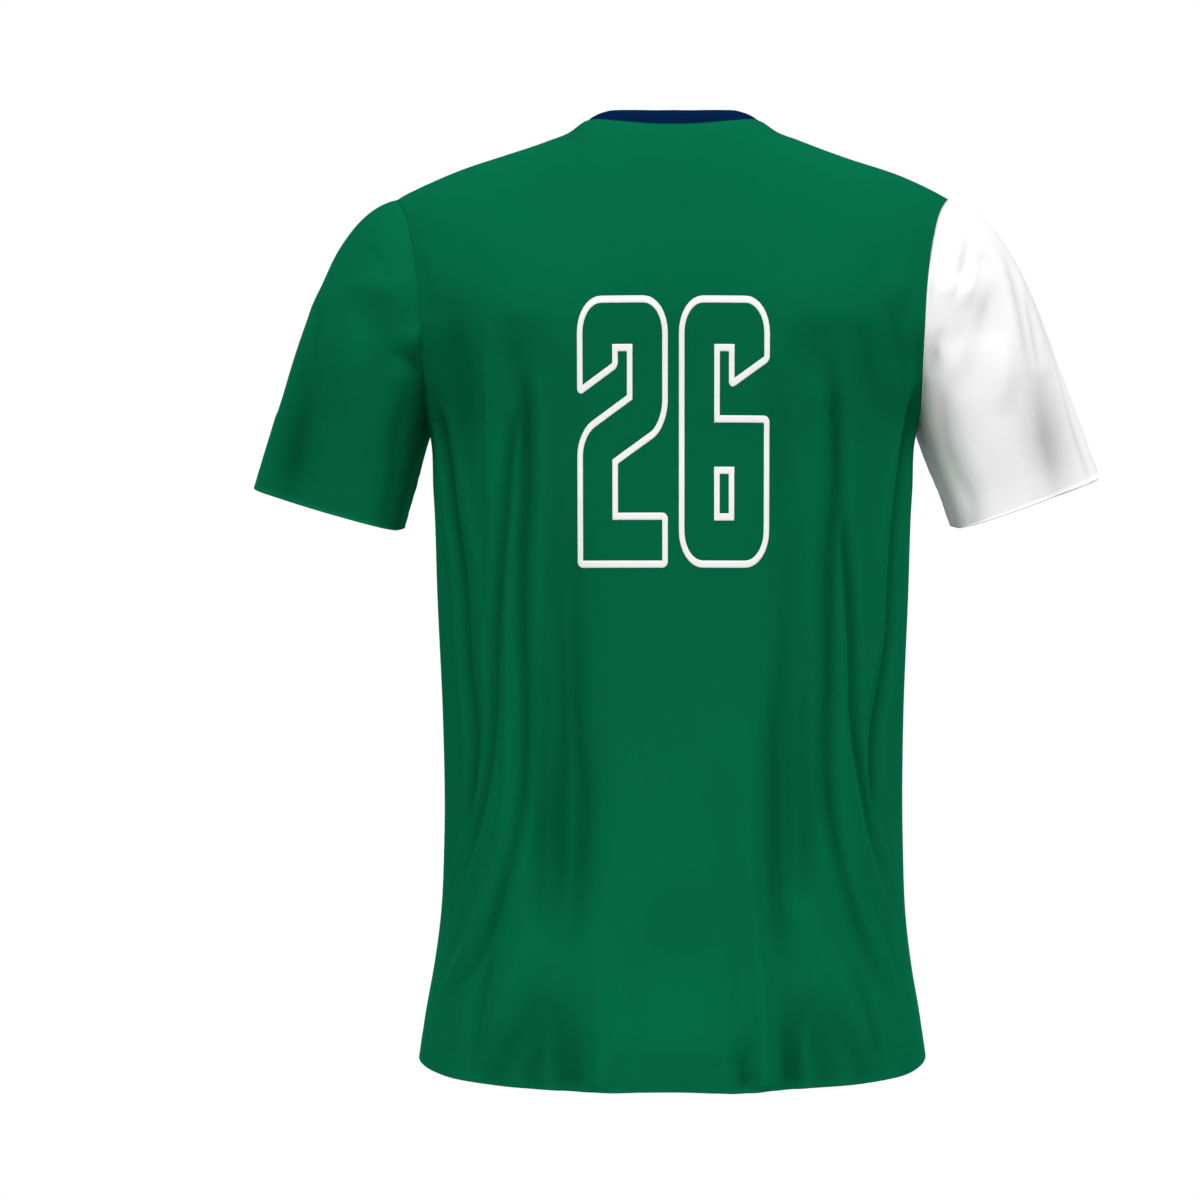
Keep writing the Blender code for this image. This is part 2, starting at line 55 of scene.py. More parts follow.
EDGE_STITCH = 0.02  # turned-up cloth of hem and cuffs, above the edge
EDGE_STEP = 0.001  # the second layer ends over this distance ...
EDGE_LIFT = 0.15  # ... and lifts the outer one by this share of a layer ...
EDGE_LIFT_RUN = 0.003  # ... over this distance ...
EDGE_LIFT_PAST = 0.0004  # ... from this far above the turned-up cloth
STITCH_BELOW = 0.0006  # the row of stitching is this far below its end
STITCH_DIP = 0.00015
STITCH_DIP_RUN = 0.0009
PUCKER = 0.0002  # gathers beside a seam
PUCKER_RUN = 0.009
PUCKER_PITCH = 0.013
PUCKER_BEATS = ((0.5, 0.071), (0.3, 0.029))  # share and length of their slow changes
PUCKER_DRIFT = 1.3  # how far their pitch wanders ...
PUCKER_DRIFT_RUN = 0.037  # ... and over what length
SIDE_SEED = 0.7  # set the gathers of one seam apart from another's
SHOULDER_SEED = 1.9
ARMHOLE_SEED = 2.3
UNDERARM_SEED = 0.4
RIM_SWELL = 0.35  # a cut or folded edge is round by this share of its thickness
UNDERARM_START = 0.01  # the underarm seam's gathers start this far down the sleeve ...
UNDERARM_END = 0.004  # ... and end this far above the cuff's edge
WIDE_SWAY = (0.0006, 0.031, 0.057, 0.0, 0.0)  # faint unevenness: its height, then its length ...
FINE_SWAY = (0.0004, 0.017, 0.083, -0.4, 0.6)  # ... and its start, across and up
SLEEVE_SWAY = (0.0005, 0.023, 0.041, 0.0, 0.0)

# ---- torso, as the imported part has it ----
HEM_Z = -0.75
UNDERARM_Z = -0.245
YOKE_Z = -0.17  # above the shoulder blades the cloth rolls over the shoulder

Section = namedtuple("Section", "z half_width back front roundness")
TORSO = (
    Section(-0.75, 0.2035, 0.141, 0.135, 2.5),
    Section(-0.715, 0.1985, 0.137, 0.132, 2.45),
    Section(-0.68, 0.1925, 0.131, 0.129, 2.4),
    Section(-0.645, 0.1882, 0.124, 0.126, 2.35),
    Section(-0.58, 0.1855, 0.116, 0.122, 2.3),
    Section(-0.48, 0.186, 0.11, 0.119, 2.3),
    Section(-0.38, 0.1903, 0.112, 0.121, 2.3),
    Section(-0.3, 0.1935, 0.117, 0.125, 2.3),
    Section(-0.245, 0.1985, 0.12, 0.128, 2.3),
    Section(-0.208, 0.2165, 0.1215, 0.128, 2.3),
    Section(-0.17, 0.235, 0.122, 0.127, 2.3),
    Section(-0.132, 0.2165, 0.1215, 0.126, 2.3),  # past the top one, to level the curves there
)
Ridge = namedtuple("Ridge", "x z")
SHOULDER = (
    Ridge(0.0, 0.018), Ridge(0.04, 0.012), Ridge(0.0715, 0.0),
    Ridge(0.0829, -0.0085), Ridge(0.0992, -0.0145), Ridge(0.1366, -0.0275),
    Ridge(0.186, -0.044), Ridge(0.2106, -0.0545), Ridge(0.2235, -0.061),
)
EVENING = np.linspace(-0.03, 0.03, 9)  # the shoulder line's bends even out below it ...
EVENING_POWER = 8  # ... as fast as this
Armhole = namedtuple("Armhole", "z x")
ARMHOLE = (
    Armhole(-0.245, 0.1985), Armhole(-0.228, 0.1968), Armhole(-0.208, 0.1954),
    Armhole(-0.184, 0.1949), Armhole(-0.153, 0.1963), Armhole(-0.128, 0.1992),
    Armhole(-0.101, 0.2046), Armhole(-0.078, 0.2125), Armhole(-0.061, 0.2235),
)
NECK_HALF_WIDTH = 0.0715
NECK_BACK = 0.068
NECK_FRONT = 0.104
NECK_ROUNDNESS = 2.1
BAND_RISE = 0.013
BAND_LEAN = 0.0095
BAND_SIDE_TURN = 0.006
BAND_CROWN = 0.001  # the doubled rib swells between its seam and its fold
BAND_SEAM_SHARE = 0.12  # share of its height that dips into the seam
BAND_FLAT_SHARE = 0.2  # share over which the ribs rise from the seam
BAND_EVENINGS = 6  # rounds in which its ring is evened out

# ---- sleeves ----
Sleeve = namedtuple("Sleeve", "node side outer_x outer_z inner_x inner_z")
SLEEVES = (
    Sleeve("left_sleeve", 1, 0.343, -0.2925, 0.2208, -0.3283),
    Sleeve("right_sleeve", -1, 0.348, -0.284, 0.2281, -0.3267),
)
CUFF_HALF_DEPTH = 0.061
CUFF_FORWARD = 0.019
CUFF_TURN = 0.019  # its inner edge is that much behind its middle
CUFF_FLATNESS = 0.45
CUFF_BACK_DROP = 0.004
UNDERARM_RUN = (0.22, 0.0, -1.0)
SHOULDER_RUN = (0.98, 0.0, -0.2)
SLEEVE_BULGE = 0.1
TOP_REACH = 0.062
TOP_FALL = 0.108
UNDER_REACH = 0.02
UNDER_FALL = 0.03
OUTER_FLARE = 0.06

# ---- folds, given one by one ----
# Each row is a Crease, in millimetres. Width is the trough's half width. The fold runs through
# the path's points, seen square from behind or in front: x, z, and how deep the cloth is pressed
# in there, or raised where negative. Lean steepens the side at the wearer's left, or below 0 right.
Crease = namedtuple("Crease", "width path lean", defaults=(0.0,))
BACK_CREASES = (
    (6.5, ((192, -208, 0), (184, -252, 6), (174, -318, 7), (167, -357, 6.5), (160, -449, 6),
     (155, -498, 6), (158, -543, 5), (171, -616, 0)), 0.3),
    (5, ((113, -221, 0), (124, -267, 4.5), (130, -331, 5.5), (137, -417, 5.5), (141, -502, 5.5),
     (150, -552, 4.5), (171, -621, 0))),
    (6, ((114, -213, 0), (113, -241, 6), (113, -301, 7), (117, -379, 7), (116, -465, 7),
     (118, -538, 7), (129, -601, 6), (146, -652, 4.5), (182, -705, 0))),
    (16, ((89, -257, 0), (89, -356, 3), (88, -430, 5), (86, -493, 7), (90, -556, 8), (89, -590, 7),
     (90, -619, 3.5), (93, -658, 0))),
    (11, ((101, -354, 0), (100, -415, 2.5), (101, -465, 5), (102, -524, 6.5), (103, -570, 7),
     (103, -603, 4), (105, -644, 0))),
    (10, ((77, -293, 0), (77, -357, 2.5), (76, -418, 5), (75, -478, 6.5), (70, -539, 7.5),
     (72, -590, 7), (75, -624, 4), (78, -663, 0)), 0.3),
    (18, ((173, -150, 0), (168, -190, 3.6), (167, -231, 3.4), (167, -276, 2.5), (167, -323, 0))),
    (17, ((119, -170, 0), (120, -197, 2.6), (116, -242, 0))),
    (9, ((140, -168, 0), (141, -211, -4), (142, -293, -3), (144, -340, 0))),
    (14, ((189, -105, 0), (184, -133, -1.5), (181, -162, 0))),
    (12, ((58, -631, 0), (55, -678, -4), (53, -752, -6))),
    (4.5, ((148, -495, 0), (151, -534, -2.5), (162, -570, -3), (174, -609, 0))),
    (7, ((137, -587, 0), (148, -628, -3), (162, -660, -3.5), (186, -707, 0))),
    (17, ((97, -677, 0), (105, -697, 3.5), (124, -724, 5.5), (142, -752, 5.5))),
    (17, ((98, -677, 0), (98, -701, 4), (105, -725, 6), (109, -752, 6.5))),
    (13, ((94, -680, 0), (90, -701, 4), (87, -725, 6.5), (83, -752, 7)), 0.3),
    (6, ((76, -700, 0), (72, -725, 2.5), (72, -752, 3.5))),
    (6, ((42, -718, 0), (42, -737, 3), (42, -752, 5))),
    (7, ((139, -642, 0), (144, -680, 3.5), (150, -715, 3.5), (156, -746, 0))),
    (10, ((100, -633, 0), (120, -667, -4), (135, -707, -3), (145, -728, 0))),
    (6.5, ((-194, -209, 0), (-189, -236, 6), (-180, -291, 7), (-173, -354, 6.5), (-170, -418, 6.5),
     (-157, -502, 6.5), (-157, -541, 6), (-170, -616, 0))),
    (6.5, ((-119, -196, 0), (-124, -241, 5.5), (-126, -293, 7), (-121, -357, 6.8), (-120, -454, 6.8),
     (-120, -524, 6.8), (-130, -592, 6), (-151, -657, 4), (-176, -706, 0))),
    (5, ((-128, -302, 0), (-133, -347, 6), (-138, -425, 7), (-140, -485, 7), (-150, -543, 6),
     (-169, -619, 0))),
    (10, ((-89, -327, 0), (-89, -383, 2.5), (-85, -449, 4.5), (-79, -493, 6), (-79, -532, 7),
     (-79, -584, 6.5), (-80, -621, 4), (-83, -667, 0)), -0.3),
    (11, ((-90, -400, 0), (-89, -454, 3.5), (-88, -507, 5), (-90, -555, 6), (-88, -590, 4.5),
     (-88, -630, 0))),
    (17, ((-100, -340, 0), (-103, -449, 3), (-101, -508, 5), (-105, -555, 6), (-103, -590, 4.5),
     (-99, -625, 0))),
    (9, ((-61, -387, 0), (-61, -490, -2.5), (-60, -597, -4), (-66, -687, -6), (-69, -752, -7))),
    (7, ((-55, -414, 0), (-54, -474, 2), (-54, -521, 0))),
    (4.5, ((-146, -491, 0), (-152, -532, -2.5), (-162, -569, -3), (-174, -614, 0))),
    (7, ((-135, -585, 0), (-145, -624, -3), (-159, -659, -3.5), (-180, -713, 0))),
    (6, ((-55, -708, 0), (-52, -729, 5), (-55, -752, 7))),
    (13, ((-102, -678, 0), (-98, -701, 4.5), (-93, -724, 6), (-93, -752, 6.5)), -0.3),
    (17, ((-106, -682, 0), (-110, -708, 4.5), (-114, -729, 6), (-120, -752, 6))),
    (17, ((-113, -681, 0), (-128, -711, 4), (-141, -732, 5), (-149, -752, 4.5))),
    (6, ((-85, -698, 0), (-85, -721, 2.5), (-87, -752, 3.5))),
    (10, ((-92, -607, 0), (-112, -652, -4), (-130, -687, -4), (-153, -735, 0))),
    (6, ((-139, -665, 0), (-148, -697, 3.5), (-155, -721, 3.5), (-162, -748, 0))),
    (11, ((-144, -175, 0), (-147, -198, 2.8), (-160, -254, 0))),
    (11, ((-163, -147, 0), (-168, -170, 2.6), (-180, -230, 0))),
    (11, ((-177, -120, 0), (-175, -147, -3), (-171, -168, 0))),
    (9, ((-194, -167, 0), (-193, -191, 4), (-196, -225, 0))),
    (9, ((-81, -221, 0), (-82, -283, 2.5), (-82, -354, 0))),
    (18, ((-111, -170, 0), (-110, -197, 2.6), (-112, -234, 0))),
    (36, ((48, -711, 0), (27, -715, -5), (-2, -718, -7), (-28, -716, -5), (-49, -714, 0))),
    (44, ((186, -140, 0), (129, -161, -3), (84, -170, -3.5), (39, -163, -3), (0, -172, -3.5),
     (-49, -161, -3), (-94, -170, -3.5), (-142, -160, -3), (-186, -140, 0))),
)
FRONT_CREASES = (
    (7, ((190, -220, 0), (182, -260, 7), (172, -330, 7), (166, -410, 7), (157, -490, 7),
     (150, -560, 4), (149, -620, 0))),
    (8, ((124, -215, 0), (121, -260, 5.5), (116, -330, 7.5), (110, -420, 7), (112, -500, 7),
     (120, -580, 7), (131, -650, 5), (144, -715, 0))),
    (7, ((134, -330, 0), (139, -400, 5.5), (141, -480, 6.5), (150, -560, 5.5), (163, -630, 0))),
    (16, ((52, -330, 0), (58, -400, 3.5), (64, -500, 7), (60, -580, 7), (52, -650, 4), (47, -710, 0))),
    (7, ((74, -640, 0), (78, -700, -4), (80, -752, -5.5))),
    (6, ((98, -670, 0), (100, -715, 4), (102, -752, 5.5))),
    (6, ((134, -655, 0), (148, -695, 3.5), (160, -735, 0))),
    (7, ((-191, -218, 0), (-184, -255, 7), (-176, -320, 7), (-168, -400, 7), (-160, -480, 7),
     (-152, -550, 5), (-151, -615, 0))),
    (8, ((-113, -210, 0), (-115, -260, 6.5), (-120, -340, 7.5), (-126, -420, 7), (-125, -500, 7),
     (-121, -580, 7), (-129, -650, 5), (-142, -705, 0))),
    (7, ((-98, -380, 0), (-95, -440, 4), (-90, -520, 6.5), (-92, -590, 5), (-100, -660, 0))),
    (18, ((-44, -390, 0), (-38, -460, 3.5), (-34, -540, 7), (-38, -620, 5.5), (-46, -700, 0))),
    (8, ((-60, -650, 0), (-64, -705, -4), (-66, -752, -5))),
    (6, ((-84, -680, 0), (-87, -720, 4), (-90, -752, 5))),
    (6, ((-112, -690, 0), (-134, -712, 3.5), (-156, -732, 0))),
    (20, ((70, -150, 0), (35, -158, 2), (-20, -160, 2), (-66, -152, 0))),
    (7, ((168, -150, 0), (157, -172, 3.5), (150, -205, 0))),
    (7, ((-166, -148, 0), (-156, -170, 3.5), (-149, -200, 0))),
)
SLEEVE_CREASES = {  # by sleeve, then behind (1) or in front (-1)
    ("left_sleeve", 1): (
        (6, ((259, -97, 0), (284, -127, 1.5), (287, -169, 2), (296, -226, 0))),
        (5, ((279, -146, 0), (285, -183, 1.5), (291, -222, 0))),
        (13, ((211, -123, 0), (218, -145, -4), (242, -139, -2.5), (259, -141, 0))),
        (17, ((244, -154, 0), (256, -198, -3.5), (263, -247, 0))),
        (8, ((228, -192, 0), (214, -197, 2.5), (206, -199, 4), (199, -202, 4))),
        (24, ((306, -191, 0), (298, -228, 5), (305, -260, 9), (310, -283, 9), (316, -302, 5))),
        (8, ((202, -226, 0), (211, -243, 2), (218, -266, 2.5), (221, -299, 2.5), (228, -327, 2))),
    ),
    ("left_sleeve", -1): (
        (10, ((238, -110, 0), (236, -150, 4), (222, -190, 5), (206, -214, 0))),
        (8, ((262, -120, 0), (276, -165, 5), (286, -210, 5.5), (300, -260, 4), (312, -296, 0))),
        (9, ((212, -230, 0), (224, -262, 5), (234, -310, 3))),
    ),
    ("right_sleeve", 1): (
        (4, ((-235, -92, 0), (-230, -117, 2.5), (-223, -140, 2.5), (-216, -155, 0))),
        (15, ((-212, -121, 0), (-209, -143, -4.5), (-232, -145, -3), (-248, -154, 0))),
        (13, ((-252, -135, 0), (-245, -162, 3), (-238, -192, 0))),
        (18, ((-259, -175, 0), (-260, -207, -4.5), (-257, -242, 0))),
        (9, ((-210, -175, 0), (-204, -188, 3.5), (-201, -201, 4), (-200, -213, 0))),
        (6, ((-264, -103, 0), (-274, -139, 3), (-282, -184, 3), (-288, -220, 0))),
        (5, ((-280, -133, 0), (-290, -179, 3), (-295, -210, 0))),
        (5, ((-292, -144, 0), (-313, -200, 3), (-328, -252, 3), (-338, -286, 2))),
        (24, ((-292, -202, 0), (-298, -228, 5), (-304, -260, 10), (-308, -280, 9), (-310, -301, 5))),
        (8, ((-206, -222, 0), (-209, -238, 2), (-214, -262, 2.5), (-224, -287, 2.5),
         (-235, -310, 2.5), (-237, -326, 2))),
    ),
    ("right_sleeve", -1): (
        (9, ((-236, -104, 0), (-240, -146, 4), (-228, -190, 5), (-208, -218, 0))),
        (7, ((-270, -130, 0), (-281, -170, 5), (-292, -220, 5), (-306, -272, 3), (-314, -298, 0))),
        (8, ((-210, -236, 0), (-222, -268, 5.5), (-238, -312, 3.5))),
    ),
}
MILLIMETRES = 1000.0  # in a metre
FOLD_REACH = 4.5  # in half widths: how far a fold acts ...
RIDGE_PLACE = 2.1  # ... where its ridges stand ...
RIDGE_SPREAD = 0.9  # ... and how wide they are
TROUGH_FALL = 1.7  # how fast a trough's sides run out
TROUGH_ROUND = 0.12  # how round its bottom is ...
TROUGH_FLOOR = 0.346  # ... and what that takes off its depth
RIDGE_SHARE = 0.3  # cloth pushed up beside a trough, against its depth
THIN = 0.0085  # folds narrower than this run together, and so do wider ones
MEETING = 3.0  # how sharply they do
DEEP_FOLD = 0.01  # cloth pressed in this far has its full painted shade
FOLD_SHADE = 0.42  # painted shade: how much darker its base colour is made down there
RIDGE_LOST = 0.002  # a ridge is gone where another fold is pressed in this far
CAST_FROM = 0.5  # folds and number are laid on the cloth from this far away
FOLD_STEP = 0.008
FOLD_STEPS = 6  # at least
SIDE_FLAT = 0.014  # folds die away this close to a side seam or an armhole ...
TOP_FLAT = 0.02  # ... a shoulder seam or the neckline ...
SLEEVE_FLAT = 0.006  # ... and down from a sleeve's own seam
HEM_WAVE = ((0.0, 0.0008), (0.045, -0.0008), (0.095, 0.001))  # place and lift
HEM_WAVE_UP = 0.12
HEM_WAVE_WIDTH = 0.03

# ---- fineness ----
NECK_COLUMNS = 34
SHOULDER_COLUMNS = 72
NECK_SHARE = 0.34
BODY_STEP = 0.0042
EDGE_ROWS = (0.0, 0.0004, 0.0012, 0.003, 0.006, 0.0095, 0.013, 0.016, 0.0178, 0.0188,
             0.0194, 0.02, 0.0206, 0.0212, 0.0222, 0.024, 0.0265, 0.03)
UNDERARM_ROWS = 20
YOKE_ROWS = 52
ARMHOLE_STEPS = 12  # halvings that settle where a row meets the armhole
SLEEVE_STEPS = 70
RIBS = 270
RIB_COLUMNS = 4  # for each rib
BAND_ROWS = 9
RIB_RELIEF = 0.00022


# ---- reading the tables ----
def smooth_step(t):
    t = np.clip(t, 0.0, 1.0)
    return t * t * (3.0 - 2.0 * t)


def hermite(keys, values, at):
    """Smooth curve through values at keys, read at an array of places."""
    slopes = np.gradient(values, keys)
    at = np.clip(at, keys[0], keys[-1])
    i = np.clip(np.searchsorted(keys, at) - 1, 0, len(keys) - 2)
    run = keys[i + 1] - keys[i]
    t = (at - keys[i]) / run
    blend = smooth_step(t)
    lead = t * (1.0 - t) ** 2 * run * slopes[i]
    tail = t * t * (t - 1.0) * run * slopes[i + 1]
    return (1.0 - blend) * values[i] + blend * values[i + 1] + lead + tail


def read(table, key, column, at):
    """A column of a table, read at places along its key."""
    rows = sorted(table, key=lambda row: getattr(row, key))
    keys = np.array([getattr(row, key) for row in rows])
    values = np.array([getattr(row, column) for row in rows])
    return hermite(keys, values, np.asarray(at, dtype=float))


def oval(across, half_width, depth, roundness):
    """How far an oval section stands out at places across it."""
    share = np.minimum(np.abs(across) / half_width, 1.0)
    return depth * (1.0 - share ** roundness) ** (1.0 / roundness)


def unit(vectors):
    return vectors / np.maximum(np.linalg.norm(vectors, axis=-1, keepdims=True), 1e-12)


def grid_normals(points, ring):
    """Normals of a grid of points, whose columns close into a ring or not."""
    if ring:
        across = np.roll(points, -1, axis=1) - np.roll(points, 1, axis=1)
    else:
        across = np.gradient(points, axis=1, edge_order=2)
    along = np.gradient(points, axis=0, edge_order=2)
    return unit(np.cross(across, along))


# ---- the body panels ----
def section_points(x, z, side):
    """Torso below the shoulder blades; side is 1 for the back, -1 for the front."""
    depth = read(TORSO, "z", "back" if side > 0 else "front", z)
    y = oval(x, read(TORSO, "z", "half_width", z), depth, read(TORSO, "z", "roundness", z))
    return np.stack((x, side * y, np.full_like(x, z)), axis=-1)


def yoke_points(x, share, side):
    """The roll over the shoulder, a share of the way to its top or to the neckline."""
    blade = section_points(x, YOKE_Z, side)[:, 1]
    ridge_z = read(SHOULDER, "x", "z", np.abs(x))
    even_z = np.mean([read(SHOULDER, "x", "z", np.abs(x + way)) for way in EVENING], axis=0)
    neck_y = oval(x, NECK_HALF_WIDTH, NECK_BACK if side > 0 else NECK_FRONT, NECK_ROUNDNESS)
    inside = np.abs(x) < NECK_HALF_WIDTH
    angle = share * np.where(inside, np.arccos(neck_y / np.abs(blade)), math.pi / 2.0)
    up = np.sin(angle)
    z = YOKE_Z + (even_z + (ridge_z - even_z) * up ** EVENING_POWER - YOKE_Z) * up
    return np.stack((x, blade * np.cos(angle), z), axis=-1)


def panel_columns():
    """Columns of a body panel, as shares of its half width from -1 to 1."""
    neck = NECK_SHARE * np.linspace(0.0, 1.0, NECK_COLUMNS + 1)
    half = np.concatenate((neck, np.linspace(NECK_SHARE, 1.0, SHOULDER_COLUMNS + 1)[1:]))
    return np.concatenate((-half[:0:-1], half))


COLUMNS = panel_columns()
MIDDLE = len(COLUMNS) // 2
NECK_FIRST, NECK_LAST = MIDDLE - NECK_COLUMNS, MIDDLE + NECK_COLUMNS


def panel_row(z, limit, spread):
    """Places across at which a row meets the columns; spread turns from even round the
    section to even along the shoulder."""
    half_width = float(read(TORSO, "z", "half_width", z))
    roundness = float(read(TORSO, "z", "roundness", z))
    limit = min(limit, half_width)
    swing = math.pi / 2.0 - math.acos((limit / half_width) ** (roundness / 2.0))
    share = np.abs(COLUMNS)
    turned = half_width * np.sin(share * swing) ** (2.0 / roundness)
    neck_share = NECK_HALF_WIDTH / SHOULDER[-1].x
    under_neck = neck_share * np.sin(np.minimum(share / NECK_SHARE, 1.0) * math.pi / 2.0)
    beyond = neck_share + (share - NECK_SHARE) * (1.0 - neck_share) / (1.0 - NECK_SHARE)
    level = np.where(share <= NECK_SHARE, under_neck, beyond)
    return np.copysign((1.0 - spread) * turned + spread * level * limit, COLUMNS)


def armhole_limit(share):
    """Half width at which a row of the yoke meets the armhole."""
    limit = SHOULDER[-1].x
    for _ in range(ARMHOLE_STEPS):
        ridge_z = float(read(SHOULDER, "x", "z", limit))
        z = YOKE_Z + (ridge_z - YOKE_Z) * math.sin(share * math.pi / 2.0)
        limit = 0.5 * (limit + float(read(ARMHOLE, "z", "x", z)))
    return limit


def body_heights():
    """Row heights from the hem to the underarm, close together round the hem's stitching."""
    edge = HEM_Z + np.array(EDGE_ROWS)
    rows = int((UNDERARM_Z - edge[-1]) / BODY_STEP)
    return np.concatenate((edge, np.linspace(edge[-1], UNDERARM_Z, rows + 1)[1:]))


HEIGHTS = body_heights()
UNDERARM_ROW = len(HEIGHTS) - 1


def panel_grid(side):
    """Smooth outer points of a body panel, without its folds."""
    rows = [section_points(panel_row(z, math.inf, 0.0), z, side) for z in HEIGHTS[:-1]]
    for step in smooth_step(np.linspace(0.0, 1.0, UNDERARM_ROWS + 1)):
        z = UNDERARM_Z + step * (YOKE_Z - UNDERARM_Z)
        limit = float(read(ARMHOLE, "z", "x", z))
        rows.append(section_points(panel_row(z, limit, 0.0), z, side))
    for share in np.linspace(0.0, 1.0, YOKE_ROWS + 1)[1:]:
        places = panel_row(YOKE_Z, armhole_limit(share), float(smooth_step(share)))
        rows.append(yoke_points(places, share, side))
    return np.array(rows)


# ---- folds ----
def lengths_along(points, axis):
    """Length from the first point to each, along one axis of the grid."""
    steps = np.linalg.norm(np.diff(points, axis=axis), axis=-1)
    start = np.zeros_like(np.take(steps, [0], axis=axis))
    return np.concatenate((start, np.cumsum(steps, axis=axis)), axis=axis)


def grid_index(points, ring):
    """Vertex numbers of a grid, with the first column again at the end of a ring."""
    rows, cols = points.shape[:2]
    index = np.arange(rows * cols).reshape(rows, cols)
    return np.concatenate((index, index[:, :1]), axis=1) if ring else index


def grid_quads(index):
    corners = index[:-1, :-1], index[:-1, 1:], index[1:, 1:], index[1:, :-1]
    return np.stack(corners, axis=-1).reshape(-1, 4)


def tree_of(points, ring):
    quads = grid_quads(grid_index(points, ring))
    return BVHTree.FromPolygons(points.reshape(-1, 3).tolist(), quads.tolist())


def crease_line(crease, tree, side):
    """The crease's points on the cloth, evenly spaced, and its depth at each."""
    path = np.array(crease.path) / MILLIMETRES
    keys = np.concatenate(((0.0,), np.cumsum(np.hypot(*np.diff(path[:, :2], axis=0).T))))
    count = max(FOLD_STEPS, int(keys[-1] / FOLD_STEP))
    at = np.linspace(0.0, keys[-1], count + 1)
    x, z, depth = (hermite(keys, path[:, k], at) for k in range(3))
    line = []
    for px, pz in zip(x, z):
        place = Vector((px, side * CAST_FROM, pz))
        found = tree.ray_cast(place, Vector((0.0, -side, 0.0)))[0]
        line.append(found or (math.nan,) * 3)
    line = np.array(line)
    met = ~np.isnan(line[:, 0])
    return line[met], depth[met]


def fold_profile(across):
    """Share of a fold's depth in the trough and in its ridges, at half widths across it."""
    trough = np.exp(-TROUGH_FALL * (np.sqrt(across ** 2 + TROUGH_ROUND) - TROUGH_FLOOR))
    ridges = np.exp(-((np.abs(across) - RIDGE_PLACE) / RIDGE_SPREAD) ** 2)
    return trough, ridges


def nearest_on_line(places, line):
    """For each place, the stretch of the line that is nearest, how far along it, and the way
    from there."""
    offset = places[:, None] - line[None, :-1]
    run = np.diff(line, axis=0)
    share = np.clip(np.sum(offset * run, axis=2) / np.sum(run * run, axis=1), 0.0, 1.0)
    away = offset - share[..., None] * run
    best = np.argmin(np.linalg.norm(away, axis=2), axis=1)
    pick = (np.arange(len(places)), best)
    return best, share[pick], run[best], away[pick]


def fold_cloth(points, normals, creases, tree, side):
    """How far each point is raised by the creases, along its normal."""
    flat = points.reshape(-1, 3)
    facing = normals.reshape(-1, 3)
    raised, thin, thin_sides, wide, wide_sides = np.zeros((5, len(flat)))
    for row in creases:
        crease = Crease(*row)
        line, depth = crease_line(crease, tree, side)
        width = crease.width / MILLIMETRES
        reach = FOLD_REACH * width
        low, high = line.min(axis=0) - reach, line.max(axis=0) + reach
        near = np.nonzero(np.all((flat > low) & (flat < high), axis=1))[0]
        if not len(near):
            continue
        best, share, run, away = nearest_on_line(flat[near], line)
        turn = np.sum(np.cross(run, away) * facing[near], axis=1)
        across = np.copysign(np.linalg.norm(away, axis=1), turn) / width
        across /= 1.0 + crease.lean * np.tanh(across)
        here = depth[best] + (depth[best + 1] - depth[best]) * share
        trough, ridges = (here * part for part in fold_profile(across))
        if here.max() <= 0.0:
            raised[near] -= trough - RIDGE_SHARE * ridges
            continue
        pressed, beside = (thin, thin_sides) if width < THIN else (wide, wide_sides)
        pressed[near] += np.maximum(trough, 0.0) ** MEETING
        beside[near] += np.maximum(ridges, 0.0) ** MEETING
    for pressed, beside in ((thin, thin_sides), (wide, wide_sides)):
        pressed, beside = pressed ** (1.0 / MEETING), beside ** (1.0 / MEETING)
        raised += RIDGE_SHARE * beside * np.exp(-pressed / RIDGE_LOST) - pressed
    return raised.reshape(points.shape[:2])


def seam_relief(distance, along, seed):
    """Cloth drawn into a seam, with small gathers beside it."""
    dip = -SEAM_DIP * np.exp(-(distance / SEAM_DIP_RUN) ** 2)
    beat = 1.0
    for order, (strength, length) in enumerate(PUCKER_BEATS, 1):
        beat = beat + strength * np.sin(along / length + order * seed)
    drift = PUCKER_DRIFT * np.sin(along / PUCKER_DRIFT_RUN + seed)
    wave = np.sin(2.0 * math.pi * along / PUCKER_PITCH + drift)
    fade = np.exp(-(distance / PUCKER_RUN) ** 2) * smooth_step(distance / SEAM_DIP_RUN)
    return dip + PUCKER * beat * wave * fade


def stitch_relief(height):
    """A turned-up edge and the row of stitching that holds it, at a height above that edge."""
    row = np.exp(-((height - EDGE_STITCH + STITCH_BELOW) / STITCH_DIP_RUN) ** 2)
    step = smooth_step((EDGE_STITCH + EDGE_LIFT_PAST - height) / EDGE_LIFT_RUN)
    return KNIT * EDGE_LIFT * step - STITCH_DIP * row


def sway(wave, across, up, turn_across, turn_up):
    height, length_across, length_up, start_across, start_up = wave
    level = np.sin(across / length_across + (start_across + turn_across))
    return height * level * np.sin(up / length_up + (start_up + turn_up))


def close_seams(points, side):
    """Brings a panel's edges to the middle plane, at the side seams and the shoulder seams."""
    points[:UNDERARM_ROW + 1, [0, -1], 1] = side * SEAM_GAP
    points[-1, :NECK_FIRST + 1, 1] = side * SEAM_GAP
    points[-1, NECK_LAST:, 1] = side * SEAM_GAP


